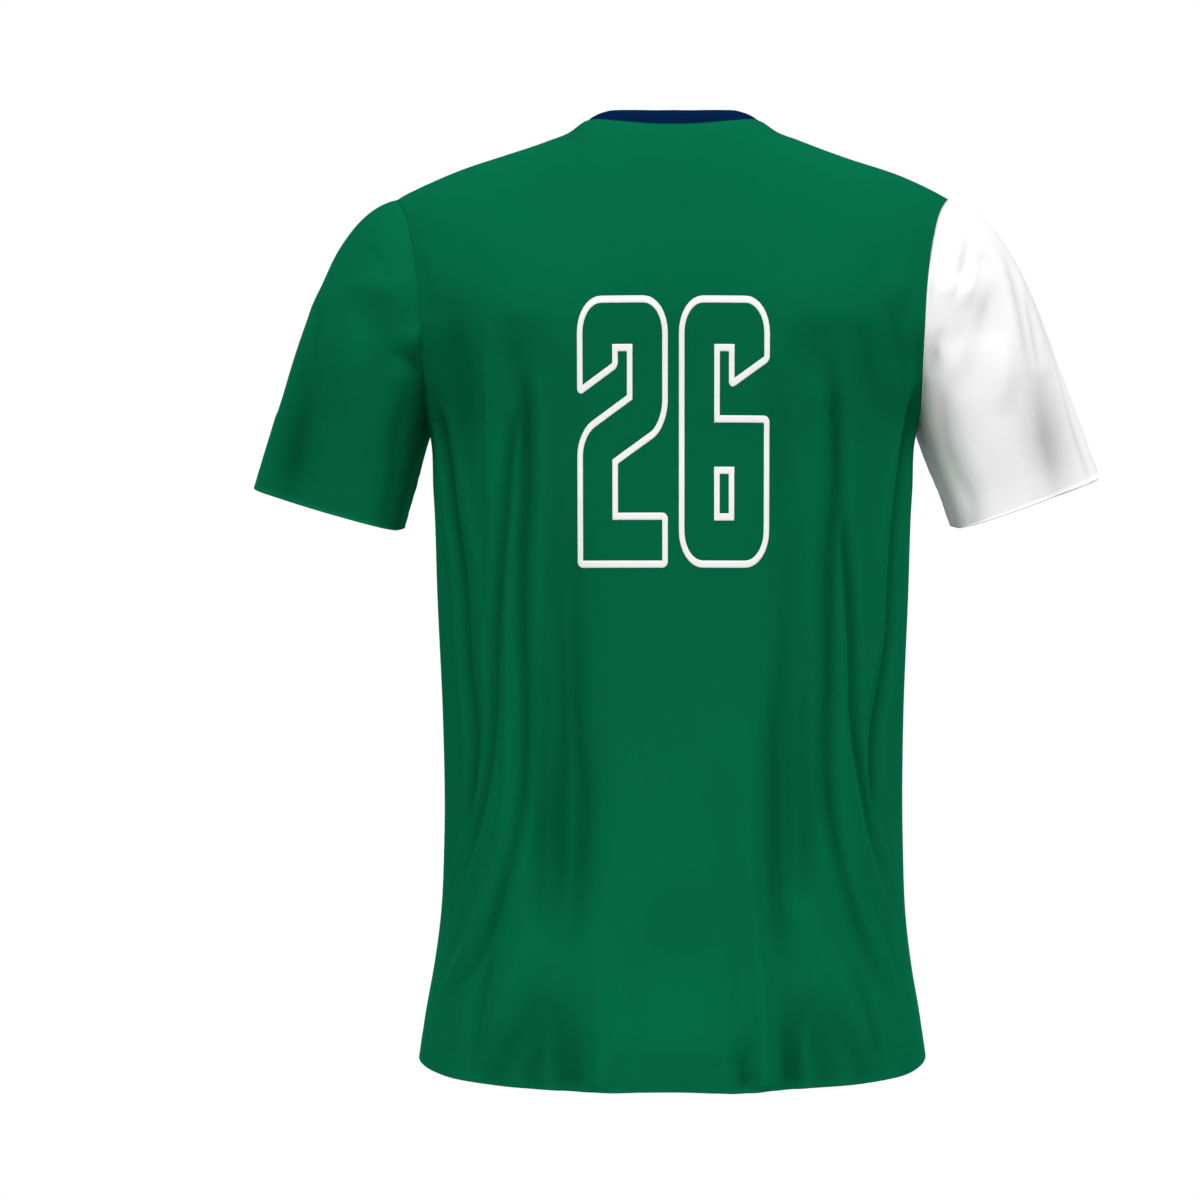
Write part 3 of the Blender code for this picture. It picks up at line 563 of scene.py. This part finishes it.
def body_panel(side, creases):
    """Outer points, cloth coordinates and painted fold shade of a body panel."""
    points = panel_grid(side)
    normals = side * -grid_normals(points, ring=False)
    tree = tree_of(points, ring=False)
    up = lengths_along(points, 0)
    across = lengths_along(points, 1)
    across = across - across[:, MIDDLE:MIDDLE + 1]
    raised = fold_cloth(points, normals, creases, tree, side)
    # painted shade: the deeper a fold presses the cloth in, the darker its base colour is made
    painted_fold_shade = np.clip(-raised / DEEP_FOLD, 0.0, 1.0)

    edge = np.minimum(across - across[:, :1], across[:, -1:] - across)
    beside = smooth_step(edge / SIDE_FLAT)
    top = up[-1:] - up
    below = smooth_step(top / TOP_FLAT)
    raised *= beside * below
    raised += seam_relief(edge, up, side * SIDE_SEED)
    raised += seam_relief(top, across, side * SHOULDER_SEED)
    raised += stitch_relief(up)
    uneven = sway(WIDE_SWAY, across, up, side, 2.0 * side)
    uneven += sway(FINE_SWAY, across, up, 0.0, side)
    raised += uneven * beside * below
    points = points + normals * raised[..., None]
    close_seams(points, side)
    hem = smooth_step(1.0 - up / HEM_WAVE_UP)
    for place, lift in HEM_WAVE:
        away = (points[..., 0] + side * place) / HEM_WAVE_WIDTH
        points[..., 2] += lift * hem * np.exp(-away ** 2)
    return points, np.stack((across, up), axis=-1), painted_fold_shade


# ---- sleeves ----
def armhole_ring(back, front, side):
    """The armhole's points: from the underarm up the back, then down the front."""
    column = -1 if side > 0 else 0
    up = back[UNDERARM_ROW:, column]
    down = front[UNDERARM_ROW + 1:-1, column][::-1]
    return np.concatenate((up, down))


def close_ring(ring):
    """A ring with its first point again at the end, and the length up to each point."""
    closed = np.concatenate((ring, ring[:1]))
    return closed, lengths_along(closed, 0)


def ring_turn(ring, top):
    """Angle round the sleeve: 0 at the underarm, half a turn at the shoulder's top."""
    lengths = close_ring(ring)[1]
    around = lengths[:-1] / lengths[-1]
    half = around[top]
    index = np.arange(len(ring))
    behind = math.pi * around / half
    ahead = math.pi * (1.0 + (around - half) / (1.0 - half))
    return np.where(index <= top, behind, ahead)


def sleeve_grid(spec, ring, top):
    """Smooth outer points of a sleeve: curves from the armhole's ring to the cuff's oval."""
    outer = np.array((spec.side * spec.outer_x, -CUFF_FORWARD - CUFF_TURN, spec.outer_z))
    inner = np.array((spec.side * spec.inner_x, -CUFF_FORWARD + CUFF_TURN, spec.inner_z))
    middle, half = (outer + inner) / 2.0, (outer - inner) / 2.0
    depth = CUFF_HALF_DEPTH * unit(np.array((0.0, CUFF_HALF_DEPTH, -CUFF_BACK_DROP)))
    fall = unit(np.cross(half, depth))
    fall *= -np.sign(fall[2])
    mirror = np.array((spec.side, 1.0, 1.0))
    turn = ring_turn(ring, top)[:, None]
    over = (1.0 - np.cos(turn)) / 2.0
    run = (1.0 - over) * np.array(UNDERARM_RUN) + over * np.array(SHOULDER_RUN)
    run = unit(run * mirror + np.array((0.0, 1.0, 0.0)) * SLEEVE_BULGE * np.sin(turn))
    swell = np.sign(np.sin(turn)) * np.abs(np.sin(turn)) ** CUFF_FLATNESS
    end = middle - half * np.cos(turn) + depth * swell
    reach = UNDER_REACH + (TOP_REACH - UNDER_REACH) * over
    drop = UNDER_FALL + (TOP_FALL - UNDER_FALL) * over
    arrive = fall + np.array((spec.side * OUTER_FLARE, 0.0, 0.0)) * over
    first, second = ring + run * reach, end - arrive * drop
    t = np.linspace(0.0, 1.0, SLEEVE_STEPS + 1)[:, None, None]
    return ((1 - t) ** 3 * ring + 3 * t * (1 - t) ** 2 * first
            + 3 * t ** 2 * (1 - t) * second + t ** 3 * end)


def sleeve(spec, back, front):
    """Outer points, cloth coordinates and painted fold shade of a sleeve, from the armhole to the cuff.
    """
    ring = armhole_ring(back, front, spec.side)
    top = YOKE_ROWS + UNDERARM_ROWS
    ring[[0, top], 1] = 0.0
    points = sleeve_grid(spec, ring, top)
    normals = spec.side * grid_normals(points, ring=True)
    tree = tree_of(points, ring=True)
    raised = np.zeros(points.shape[:2])
    for face in (1, -1):
        raised += fold_cloth(points, normals, SLEEVE_CREASES[spec.node, face], tree, face)
    # painted shade: the deeper a fold presses the cloth in, the darker its base colour is made
    painted_fold_shade = np.clip(-raised / DEEP_FOLD, 0.0, 1.0)
    down = lengths_along(points, 0)
    around = lengths_along(np.concatenate((points, points[:, :1]), axis=1), 1)[:, :-1]
    cuff = down[-1:] - down
    raised *= smooth_step(down / SLEEVE_FLAT)
    raised += seam_relief(down, around, spec.side * ARMHOLE_SEED) * smooth_step(down / SEAM_DIP_RUN)
    raised += stitch_relief(cuff)
    underarm = np.minimum(around, around.max(axis=1, keepdims=True) - around)
    ends = smooth_step(down / UNDERARM_START) * smooth_step(cuff / UNDERARM_END)
    raised += seam_relief(underarm, down, UNDERARM_SEED) * ends
    raised += sway(SLEEVE_SWAY, around, down, spec.side, 0.0) * smooth_step(down / TOP_FLAT)
    points = points + normals * raised[..., None]
    points[0] += unit(points[3] - points[0]) * 2.0 * SEAM_GAP
    return points, np.stack((around, down), axis=-1), painted_fold_shade


# ---- neckband ----
def neckband(back, front):
    """Outer points and cloth coordinates of the ribbed band, from its seam up to its fold."""
    ahead = front[-1, NECK_FIRST + 1:NECK_LAST][::-1]
    seam = np.concatenate((back[-1, NECK_FIRST:NECK_LAST + 1], ahead))
    seam[[0, 2 * NECK_COLUMNS], 1] = 0.0
    closed, lengths = close_ring(seam)
    count = RIBS * RIB_COLUMNS
    places = np.arange(count) / count * lengths[-1]
    ring = np.stack([np.interp(places, lengths, closed[:, k]) for k in range(3)], axis=-1)
    for _ in range(BAND_EVENINGS):
        ring = (np.roll(ring, 1, axis=0) + 2.0 * ring + np.roll(ring, -1, axis=0)) / 4.0
    inward = unit(ring * np.array((-1.0, -1.0, 0.0)))
    side = inward[:, :1] ** 2
    up = np.array((0.0, 0.0, 1.0))
    rise = inward * (BAND_LEAN + BAND_SIDE_TURN * side) + up * (BAND_RISE - BAND_SIDE_TURN * side)
    steps = np.linspace(0.0, 1.0, BAND_ROWS + 1)[:, None, None]
    points = ring + rise * steps + up * 2.0 * SEAM_GAP
    normals = -grid_normals(points, ring=True)
    rib = np.cos(2.0 * math.pi * np.arange(count) / RIB_COLUMNS)[None, :]
    crown = BAND_CROWN * np.sin(math.pi * steps[..., 0])
    drawn = -SEAM_DIP * np.exp(-(steps[..., 0] / BAND_SEAM_SHARE) ** 2)
    relief = RIB_RELIEF * rib * smooth_step(steps[..., 0] / BAND_FLAT_SHARE)
    points = points + normals * (crown + drawn + relief)[..., None]
    cloth = np.broadcast_arrays(places, steps[..., 0] * (BAND_RISE + BAND_LEAN))
    return points, np.stack(cloth, axis=-1)


# ---- meshes ----
def new_object(name, data):
    item = bpy.data.objects.new(name, data)
    bpy.context.scene.collection.objects.link(item)
    return item


def open_rims(points, index, ring):
    """Vertex numbers along each open rim, and which way its rounded edge swells."""
    ways = points[0] - points[1], points[-1] - points[-2]
    if ring:
        ways = [np.concatenate((way, way[:1])) for way in ways]
    rims = [(index[0][::-1], unit(ways[0][::-1])), (index[-1], unit(ways[1]))]
    if not ring:
        rims += [(seam, np.zeros((len(seam), 3))) for seam in (index[:, 0], index[:, -1][::-1])]
    return rims


def shell(name, points, cloth, painted_fold_shade, thickness, ring, outward):
    """Closed thin shell under a grid of outer points, with rounded rims."""
    index = grid_index(points, ring)
    under = points.shape[0] * points.shape[1]
    thickness = np.broadcast_to(thickness, points.shape[:2])[..., None]
    inner = points - outward * grid_normals(points, ring=ring) * thickness
    outer, inner = points.reshape(-1, 3), inner.reshape(-1, 3)
    cloth, painted_fold_shade = cloth.reshape(-1, 2), painted_fold_shade.reshape(-1)
    quads = grid_quads(index)
    faces = [quads, quads[:, ::-1] + under]
    verts, coords, painted_fold_shades = [outer, inner], [cloth, cloth], [painted_fold_shade, painted_fold_shade]
    total = 2 * under
    for rim, beyond in open_rims(points, index, ring):
        wall = np.linalg.norm(outer[rim] - inner[rim], axis=1, keepdims=True)
        mid = (outer[rim] + inner[rim]) / 2.0 + beyond * (RIM_SWELL * wall)
        mid = mid[:-1] if ring else mid
        own = total + np.arange(len(mid))
        own = np.append(own, own[0]) if ring else own
        total += len(mid)
        verts.append(mid)
        coords.append(cloth[rim[:len(mid)]])
        painted_fold_shades.append(painted_fold_shade[rim[:len(mid)]])
        faces.append(np.stack((rim[1:], rim[:-1], own[:-1], own[1:]), axis=-1))
        faces.append(np.stack((own[1:], own[:-1], rim[:-1] + under, rim[1:] + under), axis=-1))
    piece = mesh_object(name, np.concatenate(verts), np.concatenate(faces), np.concatenate(coords))
    # painted shade in the folds, kept on the mesh for the material to darken the base colour
    shade = piece.data.attributes.new("painted_fold_shade", "FLOAT", "POINT")
    shade.data.foreach_set("value", np.concatenate(painted_fold_shades).astype(np.float32))
    return piece


def mesh_object(name, verts, faces, coords):
    """Object from vertices and four-sided faces, wound to face out, with a cloth map in metres."""
    first = verts[faces[:, 0]]
    volume = sum(np.sum(first * np.cross(verts[faces[:, k]], verts[faces[:, k + 1]])) for k in (1, 2))
    if volume < 0.0:
        faces = faces[:, ::-1]
    mesh = bpy.data.meshes.new(name)
    mesh.from_pydata(verts.tolist(), [], faces.tolist())
    mesh.shade_smooth()
    layer = mesh.uv_layers.new(name="cloth")
    layer.data.foreach_set("uv", coords[faces.reshape(-1)].astype(np.float32).reshape(-1))
    mesh.update()
    return new_object(name, mesh)


# ---- number ----
STROKE_ACROSS = 0.0042
STROKE_DOWN = 0.0054
FILM = 0.00045
FILM_LIFT = 0.00008
FILM_STEP = 0.003
SOFT_CORNER = 0.002
CORNER_POINTS = 9
Corner = namedtuple("Corner", "u w round_in round_out")


def sharp(u, w):
    return Corner(u, w, 0.0, 0.0)


def soft(u, w):
    return Corner(u, w, SOFT_CORNER, SOFT_CORNER)


TWO = (
    Corner(0.0, 0.198, 0.025, 0.016), Corner(0.064, 0.198, 0.016, 0.025),
    Corner(0.064, 0.104, 0.019, 0.012), sharp(0.0265, 0.077), sharp(0.0265, 0.036),
    soft(0.064, 0.036), soft(0.064, 0.0), soft(0.0, 0.0),
    Corner(0.0, 0.098, 0.016, 0.012), sharp(0.0375, 0.125), sharp(0.0375, 0.162),
    sharp(0.0265, 0.162), soft(0.0265, 0.149), soft(0.0, 0.13),
)
SIX = (
    Corner(0.0, 0.198, 0.025, 0.016), Corner(0.064, 0.198, 0.016, 0.025),
    soft(0.064, 0.154), soft(0.0375, 0.135), sharp(0.0375, 0.162),
    sharp(0.0265, 0.162), sharp(0.0265, 0.109), soft(0.064, 0.109),
    Corner(0.064, 0.0, 0.025, 0.016), Corner(0.0, 0.0, 0.016, 0.025),
)
SIX_COUNTER = (
    sharp(0.0265, 0.0705), sharp(0.0375, 0.0705), sharp(0.0375, 0.0355),
    sharp(0.0265, 0.0355),
)
DIGIT_FOOT_Z = -0.359
NUMBER = (
    ("film_2", "number_2", 0.07, TWO),
    ("film_6", "number_6", -0.0065, SIX),
    ("film_6_counter", "number_6_counter", -0.0065, SIX_COUNTER),
)


def digit_outline(corners):
    """Middle line of a digit's stroke, with round corners, in short even steps."""
    path = []
    for i, corner in enumerate(corners):
        here = np.array(corner[:2])
        before = unit(here - np.array(corners[i - 1][:2]))
        after = unit(np.array(corners[(i + 1) % len(corners)][:2]) - here)
        if corner.round_in == 0.0:
            path.append(here)
            continue
        for angle in np.linspace(0.0, math.pi / 2.0, CORNER_POINTS):
            path.append(here - before * corner.round_in * (1.0 - math.sin(angle))
                        + after * corner.round_out * (1.0 - math.cos(angle)))
    divided = []
    for i, point in enumerate(path):
        ahead = path[(i + 1) % len(path)]
        pieces = max(1, round(np.linalg.norm(ahead - point) / FILM_STEP))
        divided.extend(point + (ahead - point) * step / pieces for step in range(pieces))
    return np.array(divided)


def stroke_sides(path):
    """Half the stroke's width at each point, mitred where the line turns."""
    stroke = np.array((STROKE_ACROSS, STROKE_DOWN)) / 2.0
    scaled = path / stroke
    into = unit(scaled - np.roll(scaled, 1, axis=0))
    out_of = unit(np.roll(scaled, -1, axis=0) - scaled)
    side = unit(into + out_of)[:, ::-1] * np.array((1.0, -1.0))
    square = into[:, ::-1] * np.array((1.0, -1.0))
    return side / np.sum(side * square, axis=1, keepdims=True) * stroke


FILM_SECTION = (  # across the stroke from -1 to 1, then height as a share of the film
    (-1.0, 0.0), (-0.97, 0.55), (-0.84, 0.94), (-0.5, 1.0), (0.0, 1.0),
    (0.5, 1.0), (0.84, 0.94), (0.97, 0.55), (1.0, 0.0), (0.0, 0.0),
)


def film(name, left_x, corners, tree):
    """Closed band of pressed film along a digit's outline, lying on the folded cloth."""
    path = digit_outline(corners)
    sides = stroke_sides(path)
    stations, coords = [], []
    for centre, side in zip(path, sides):
        for across, height in FILM_SECTION:
            u, w = centre + side * across
            place = Vector((left_x - u, CAST_FROM, DIGIT_FOOT_Z + w))
            ground, normal = tree.ray_cast(place, Vector((0.0, -1.0, 0.0)))[:2]
            normal = normal if normal.y > 0.0 else -normal
            stations.append(ground + normal * (FILM_LIFT + height * FILM))
            coords.append((u, w))
    count, ring = len(path), len(FILM_SECTION)
    here = np.arange(count * ring).reshape(count, ring)
    ahead, turned = np.roll(here, -1, axis=0), np.roll(here, -1, axis=1)
    both = np.roll(ahead, -1, axis=1)
    faces = np.stack((here, turned, both, ahead), axis=-1).reshape(-1, 4)
    return mesh_object(name, np.array(stations), faces, np.array(coords))


# ---- materials ----
WALE = 0.00105  # width of a column of loops
COURSE = 0.00085  # height of a row of loops
LOOP_RELIEF = 0.25  # share of the knit's relief that lies along a column
CLOUD_SCALE = 9.0
CLOUD_DETAIL = 4.0
CLOUD_RANGE = (0.3, 0.7)
SHEEN_ROUGHNESS = 0.45
KNIT_BUMP = (0.35, 0.0002)  # strength and depth
FILM_BUMP = (0.1, 0.0001)


def new_material(name):
    """A material with its nodes, its links and its shader."""
    material = bpy.data.materials.new(name)
    material.use_nodes = True
    nodes, links = material.node_tree.nodes, material.node_tree.links
    return material, nodes, links, nodes["Principled BSDF"]


def set_inputs(node, values):
    for name, value in values.items():
        node.inputs[name].default_value = value


def math_node(nodes, links, operation, *values):
    """Output of a Math node whose inputs are numbers or other nodes' outputs."""
    node = nodes.new("ShaderNodeMath")
    node.operation = operation
    for socket, value in zip(node.inputs, values):
        if isinstance(value, (int, float)):
            socket.default_value = value
        else:
            links.new(value, socket)
    return node.outputs[0]


def range_node(nodes, links, value, low, high, source=(0.0, 1.0)):
    """Output of a Map Range node that turns the source's range into low to high."""
    node = nodes.new("ShaderNodeMapRange")
    set_inputs(node, {"From Min": source[0], "From Max": source[1], "To Min": low, "To Max": high})
    links.new(value, node.inputs["Value"])
    return node.outputs["Result"]


def knit_height(nodes, links, slant):
    """Height of plain knit: wales side by side, each a chain of slanted loops."""
    uv = nodes.new("ShaderNodeUVMap")
    uv.uv_map = "cloth"
    split = nodes.new("ShaderNodeSeparateXYZ")
    links.new(uv.outputs["UV"], split.inputs[0])
    across = math_node(nodes, links, "DIVIDE", split.outputs["X"], WALE)
    along = math_node(nodes, links, "DIVIDE", split.outputs["Y"], COURSE)
    within = math_node(nodes, links, "PINGPONG", across, 0.5)
    skew = math_node(nodes, links, "MULTIPLY", within, slant)
    phase = math_node(nodes, links, "ADD", along, skew)
    loops = math_node(nodes, links, "SINE", math_node(nodes, links, "MULTIPLY", phase, 2.0 * math.pi))
    groove = math_node(nodes, links, "SINE", math_node(nodes, links, "MULTIPLY", within, math.pi))
    body = math_node(nodes, links, "MULTIPLY_ADD", loops, LOOP_RELIEF, 1.0 - LOOP_RELIEF)
    return math_node(nodes, links, "MULTIPLY", body, groove)


def shade_variation(nodes, links, color, height, spread, weave):
    """Base colour with faint cloudy unevenness, darker between the loops, and with painted shade in the
    folds.
    """
    where = nodes.new("ShaderNodeTexCoord")
    cloud = nodes.new("ShaderNodeTexNoise")
    set_inputs(cloud, {"Scale": CLOUD_SCALE, "Detail": CLOUD_DETAIL})
    links.new(where.outputs["Object"], cloud.inputs["Vector"])
    # painted shade: the base colour is darkened where the folds press the cloth in
    folds = nodes.new("ShaderNodeAttribute")
    folds.attribute_name = "painted_fold_shade"
    uneven = range_node(nodes, links, cloud.outputs["Fac"], 1.0 - spread, 1.0 + spread, CLOUD_RANGE)
    gaps = range_node(nodes, links, height, 1.0 - weave, 1.0)
    painted_shade_factor = range_node(nodes, links, folds.outputs["Fac"], 1.0, 1.0 - FOLD_SHADE)
    both = math_node(nodes, links, "MULTIPLY", uneven, gaps)
    tint = nodes.new("ShaderNodeVectorMath")
    tint.operation = "SCALE"
    tint.inputs[0].default_value = color
    links.new(math_node(nodes, links, "MULTIPLY", both, painted_shade_factor), tint.inputs["Scale"])
    return tint.outputs[0]


def sheen_tint(color):
    """The cloth's own colour at full strength, which its gloss takes on."""
    return (*(channel / max(color) for channel in color), 1.0)


def cloth_material(name, color, roughness, sheen=0.1, weave=0.14, slant=1.0, spread=0.03,
                   rougher=0.1, bump=KNIT_BUMP):
    """Knit, matt but for its sheen, or without sheen the film that the knit shows through.
    The gaps between the loops are darker by the weave's share, and rougher."""
    material, nodes, links, shader = new_material(name)
    height = knit_height(nodes, links, slant)
    links.new(shade_variation(nodes, links, color, height, spread, weave), shader.inputs["Base Color"])
    uneven = range_node(nodes, links, height, roughness + rougher, roughness - rougher)
    links.new(uneven, shader.inputs["Roughness"])
    if sheen:
        set_inputs(shader, {"Sheen Weight": sheen, "Sheen Roughness": SHEEN_ROUGHNESS,
                            "Sheen Tint": sheen_tint(color), "Specular IOR Level": 0.0})
    relief = nodes.new("ShaderNodeBump")
    set_inputs(relief, {"Strength": bump[0], "Distance": bump[1]})
    links.new(height, relief.inputs["Height"])
    links.new(relief.outputs["Normal"], shader.inputs["Normal"])
    material.diffuse_color = (*color, 1.0)
    return material


GREEN = (0.0018, 0.133, 0.0565)
NAVY = (0.0012, 0.013, 0.053)
WHITE = (0.93, 0.93, 0.93)
NUMBER_WHITE = (0.925, 0.93, 0.928)

green_knit = cloth_material("green_knit_cloth", GREEN, roughness=0.62)
navy_knit = cloth_material("navy_knit_cloth", NAVY, roughness=0.66, sheen=0.08)
white_knit = cloth_material("white_knit_cloth", WHITE, roughness=0.62, weave=0.08)
navy_rib = cloth_material("navy_rib_cloth", NAVY, roughness=0.7, sheen=0.08, slant=0.6)
white_film = cloth_material("pressed_film", NUMBER_WHITE, roughness=0.42, sheen=0.0, weave=0.03,
                            spread=0.02, rougher=0.05, bump=FILM_BUMP)


# ---- putting it together ----
def edge_thickness(height):
    """Hems and cuffs are two layers thick below their stitching."""
    return KNIT * (1.0 + (HEM_LAYERS - 1.0) * smooth_step((EDGE_STITCH - height) / EDGE_STEP))


def dress(piece, material, slot, *nodes):
    """Gives a piece its cloth and its body, and hides the imported nodes that it stands for; its slot is
    not used.
    """
    piece.data.materials.append(material)
    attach(piece, "root")
    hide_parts(*nodes)
    return piece


back_points, back_cloth, back_painted_shade = body_panel(1, BACK_CREASES)
front_points, front_cloth, front_painted_shade = body_panel(-1, FRONT_CREASES)

back_wall = edge_thickness(back_cloth[..., 1])
front_wall = edge_thickness(front_cloth[..., 1])
back = dress(shell("back", back_points, back_cloth, back_painted_shade, back_wall, False, -1.0),
             green_knit, "green_knit", "back_panel")
front = dress(shell("front", front_points, front_cloth, front_painted_shade, front_wall, False, 1.0),
              navy_knit, "navy_knit", "front_panel")

for spec in SLEEVES:
    points, cloth, painted_fold_shade = sleeve(spec, back_points, front_points)
    cuff = cloth[-1:, :, 1] - cloth[..., 1]
    material = green_knit if spec.side > 0 else white_knit
    slot = "green_knit" if spec.side > 0 else "white_knit"
    name = spec.node.replace("_sleeve", "_arm")
    piece = shell(name, points, cloth, painted_fold_shade, edge_thickness(cuff), True, spec.side)
    dress(piece, material, slot, spec.node)

points, cloth = neckband(back_points, front_points)
# the collar gets no painted fold shade
level = np.zeros(points.shape[:2])
collar = dress(shell("collar", points, cloth, level, RIB, True, -1.0), navy_rib, "navy_rib", "neckband")

cloth_tree = tree_of(back_points, ring=False)
for name, node, left_x, corners in NUMBER:
    dress(film(name, left_x, corners, cloth_tree), white_film, "white_film", node)


# ---- studio ----
FLOOR_RADIUS = 2.25
FLOOR_Z = -1.6
FLOOR_SIDES = 96
FLOOR_GREY = (0.62, 0.62, 0.62, 1.0)
FLOOR_ROUGHNESS = 0.9
FLOOR_GLOW = 0.22
LIGHT_WORLD = 0.1  # what the white surroundings add to the lighting ...
SHOWN_WORLD = 1.0  # ... and how bright they look themselves
WHITE_LIGHT = (1.0, 1.0, 1.0, 1.0)
Lamp = namedtuple("Lamp", "name place aim_z size power")
LAMPS = (
    Lamp("behind", (-0.3, 2.6, 4.8), -0.35, 3.2, 318.0),
    Lamp("wearers_left", (3.4, 2.3, 0.9), -0.3, 1.8, 42.0),
    Lamp("wearers_right", (-3.4, 2.3, 0.9), -0.3, 1.8, 42.0),
    Lamp("across_left", (2.0, 3.6, -0.9), -0.3, 1.2, 12.0),
    Lamp("across_right", (-2.0, 3.6, -0.9), -0.3, 1.2, 12.0),
    Lamp("in_front", (0.0, -4.4, 0.2), -0.35, 3.0, 160.0),
)
EYE = (0.0, 1.55, -0.386)  # straight behind the wearer, a little below the number's foot
LENS = 57.2  # in millimetres, as the frame's width
FRAME_WIDTH = 36.0
FRAME_SHIFT = -0.060833333  # the jersey stands this share of the frame right of its middle


def floor():
    """Plain pale floor, a disc below the jersey."""
    mesh = bpy.data.meshes.new("floor")
    turns = [2.0 * math.pi * k / FLOOR_SIDES for k in range(FLOOR_SIDES)]
    rim = [(FLOOR_RADIUS * math.cos(turn), FLOOR_RADIUS * math.sin(turn), FLOOR_Z) for turn in turns]
    mesh.from_pydata(rim, [], [range(FLOOR_SIDES)])
    plane = new_object("floor", mesh)
    material, _, _, shader = new_material("floor")
    set_inputs(shader, {"Base Color": FLOOR_GREY, "Roughness": FLOOR_ROUGHNESS,
                        "Specular IOR Level": 0.0, "Emission Color": WHITE_LIGHT,
                        "Emission Strength": FLOOR_GLOW})
    mesh.materials.append(material)


def soft_light(lamp):
    light = bpy.data.lights.new(lamp.name, "AREA")
    light.shape = "DISK"
    light.size = lamp.size
    light.energy = lamp.power
    holder = new_object(lamp.name, light)
    holder.location = lamp.place
    way = Vector((0.0, 0.0, lamp.aim_z)) - Vector(lamp.place)
    holder.rotation_euler = way.to_track_quat("-Z", "Y").to_euler()


def surroundings():
    """White all round, which lights the jersey less than it shows."""
    world = bpy.data.worlds.new("studio")
    world.use_nodes = True
    nodes, links = world.node_tree.nodes, world.node_tree.links
    seen = nodes.new("ShaderNodeLightPath")
    mix = nodes.new("ShaderNodeMixShader")
    links.new(seen.outputs["Is Camera Ray"], mix.inputs[0])
    glows = nodes["Background"], nodes.new("ShaderNodeBackground")
    for glow, strength, socket in zip(glows, (LIGHT_WORLD, SHOWN_WORLD), (mix.inputs[1], mix.inputs[2])):
        set_inputs(glow, {"Color": WHITE_LIGHT, "Strength": strength})
        links.new(glow.outputs[0], socket)
    links.new(mix.outputs[0], nodes["World Output"].inputs["Surface"])
    bpy.context.scene.world = world
    bpy.context.scene.view_settings.view_transform = "Standard"


def camera():
    data = bpy.data.cameras.new("camera")
    data.lens = LENS
    data.sensor_width = FRAME_WIDTH
    data.shift_x = FRAME_SHIFT
    eye = new_object("camera", data)
    eye.location = EYE
    eye.rotation_euler = (math.pi / 2.0, 0.0, math.pi)
    bpy.context.scene.camera = eye


floor()
for lamp in LAMPS:
    soft_light(lamp)
surroundings()
camera()
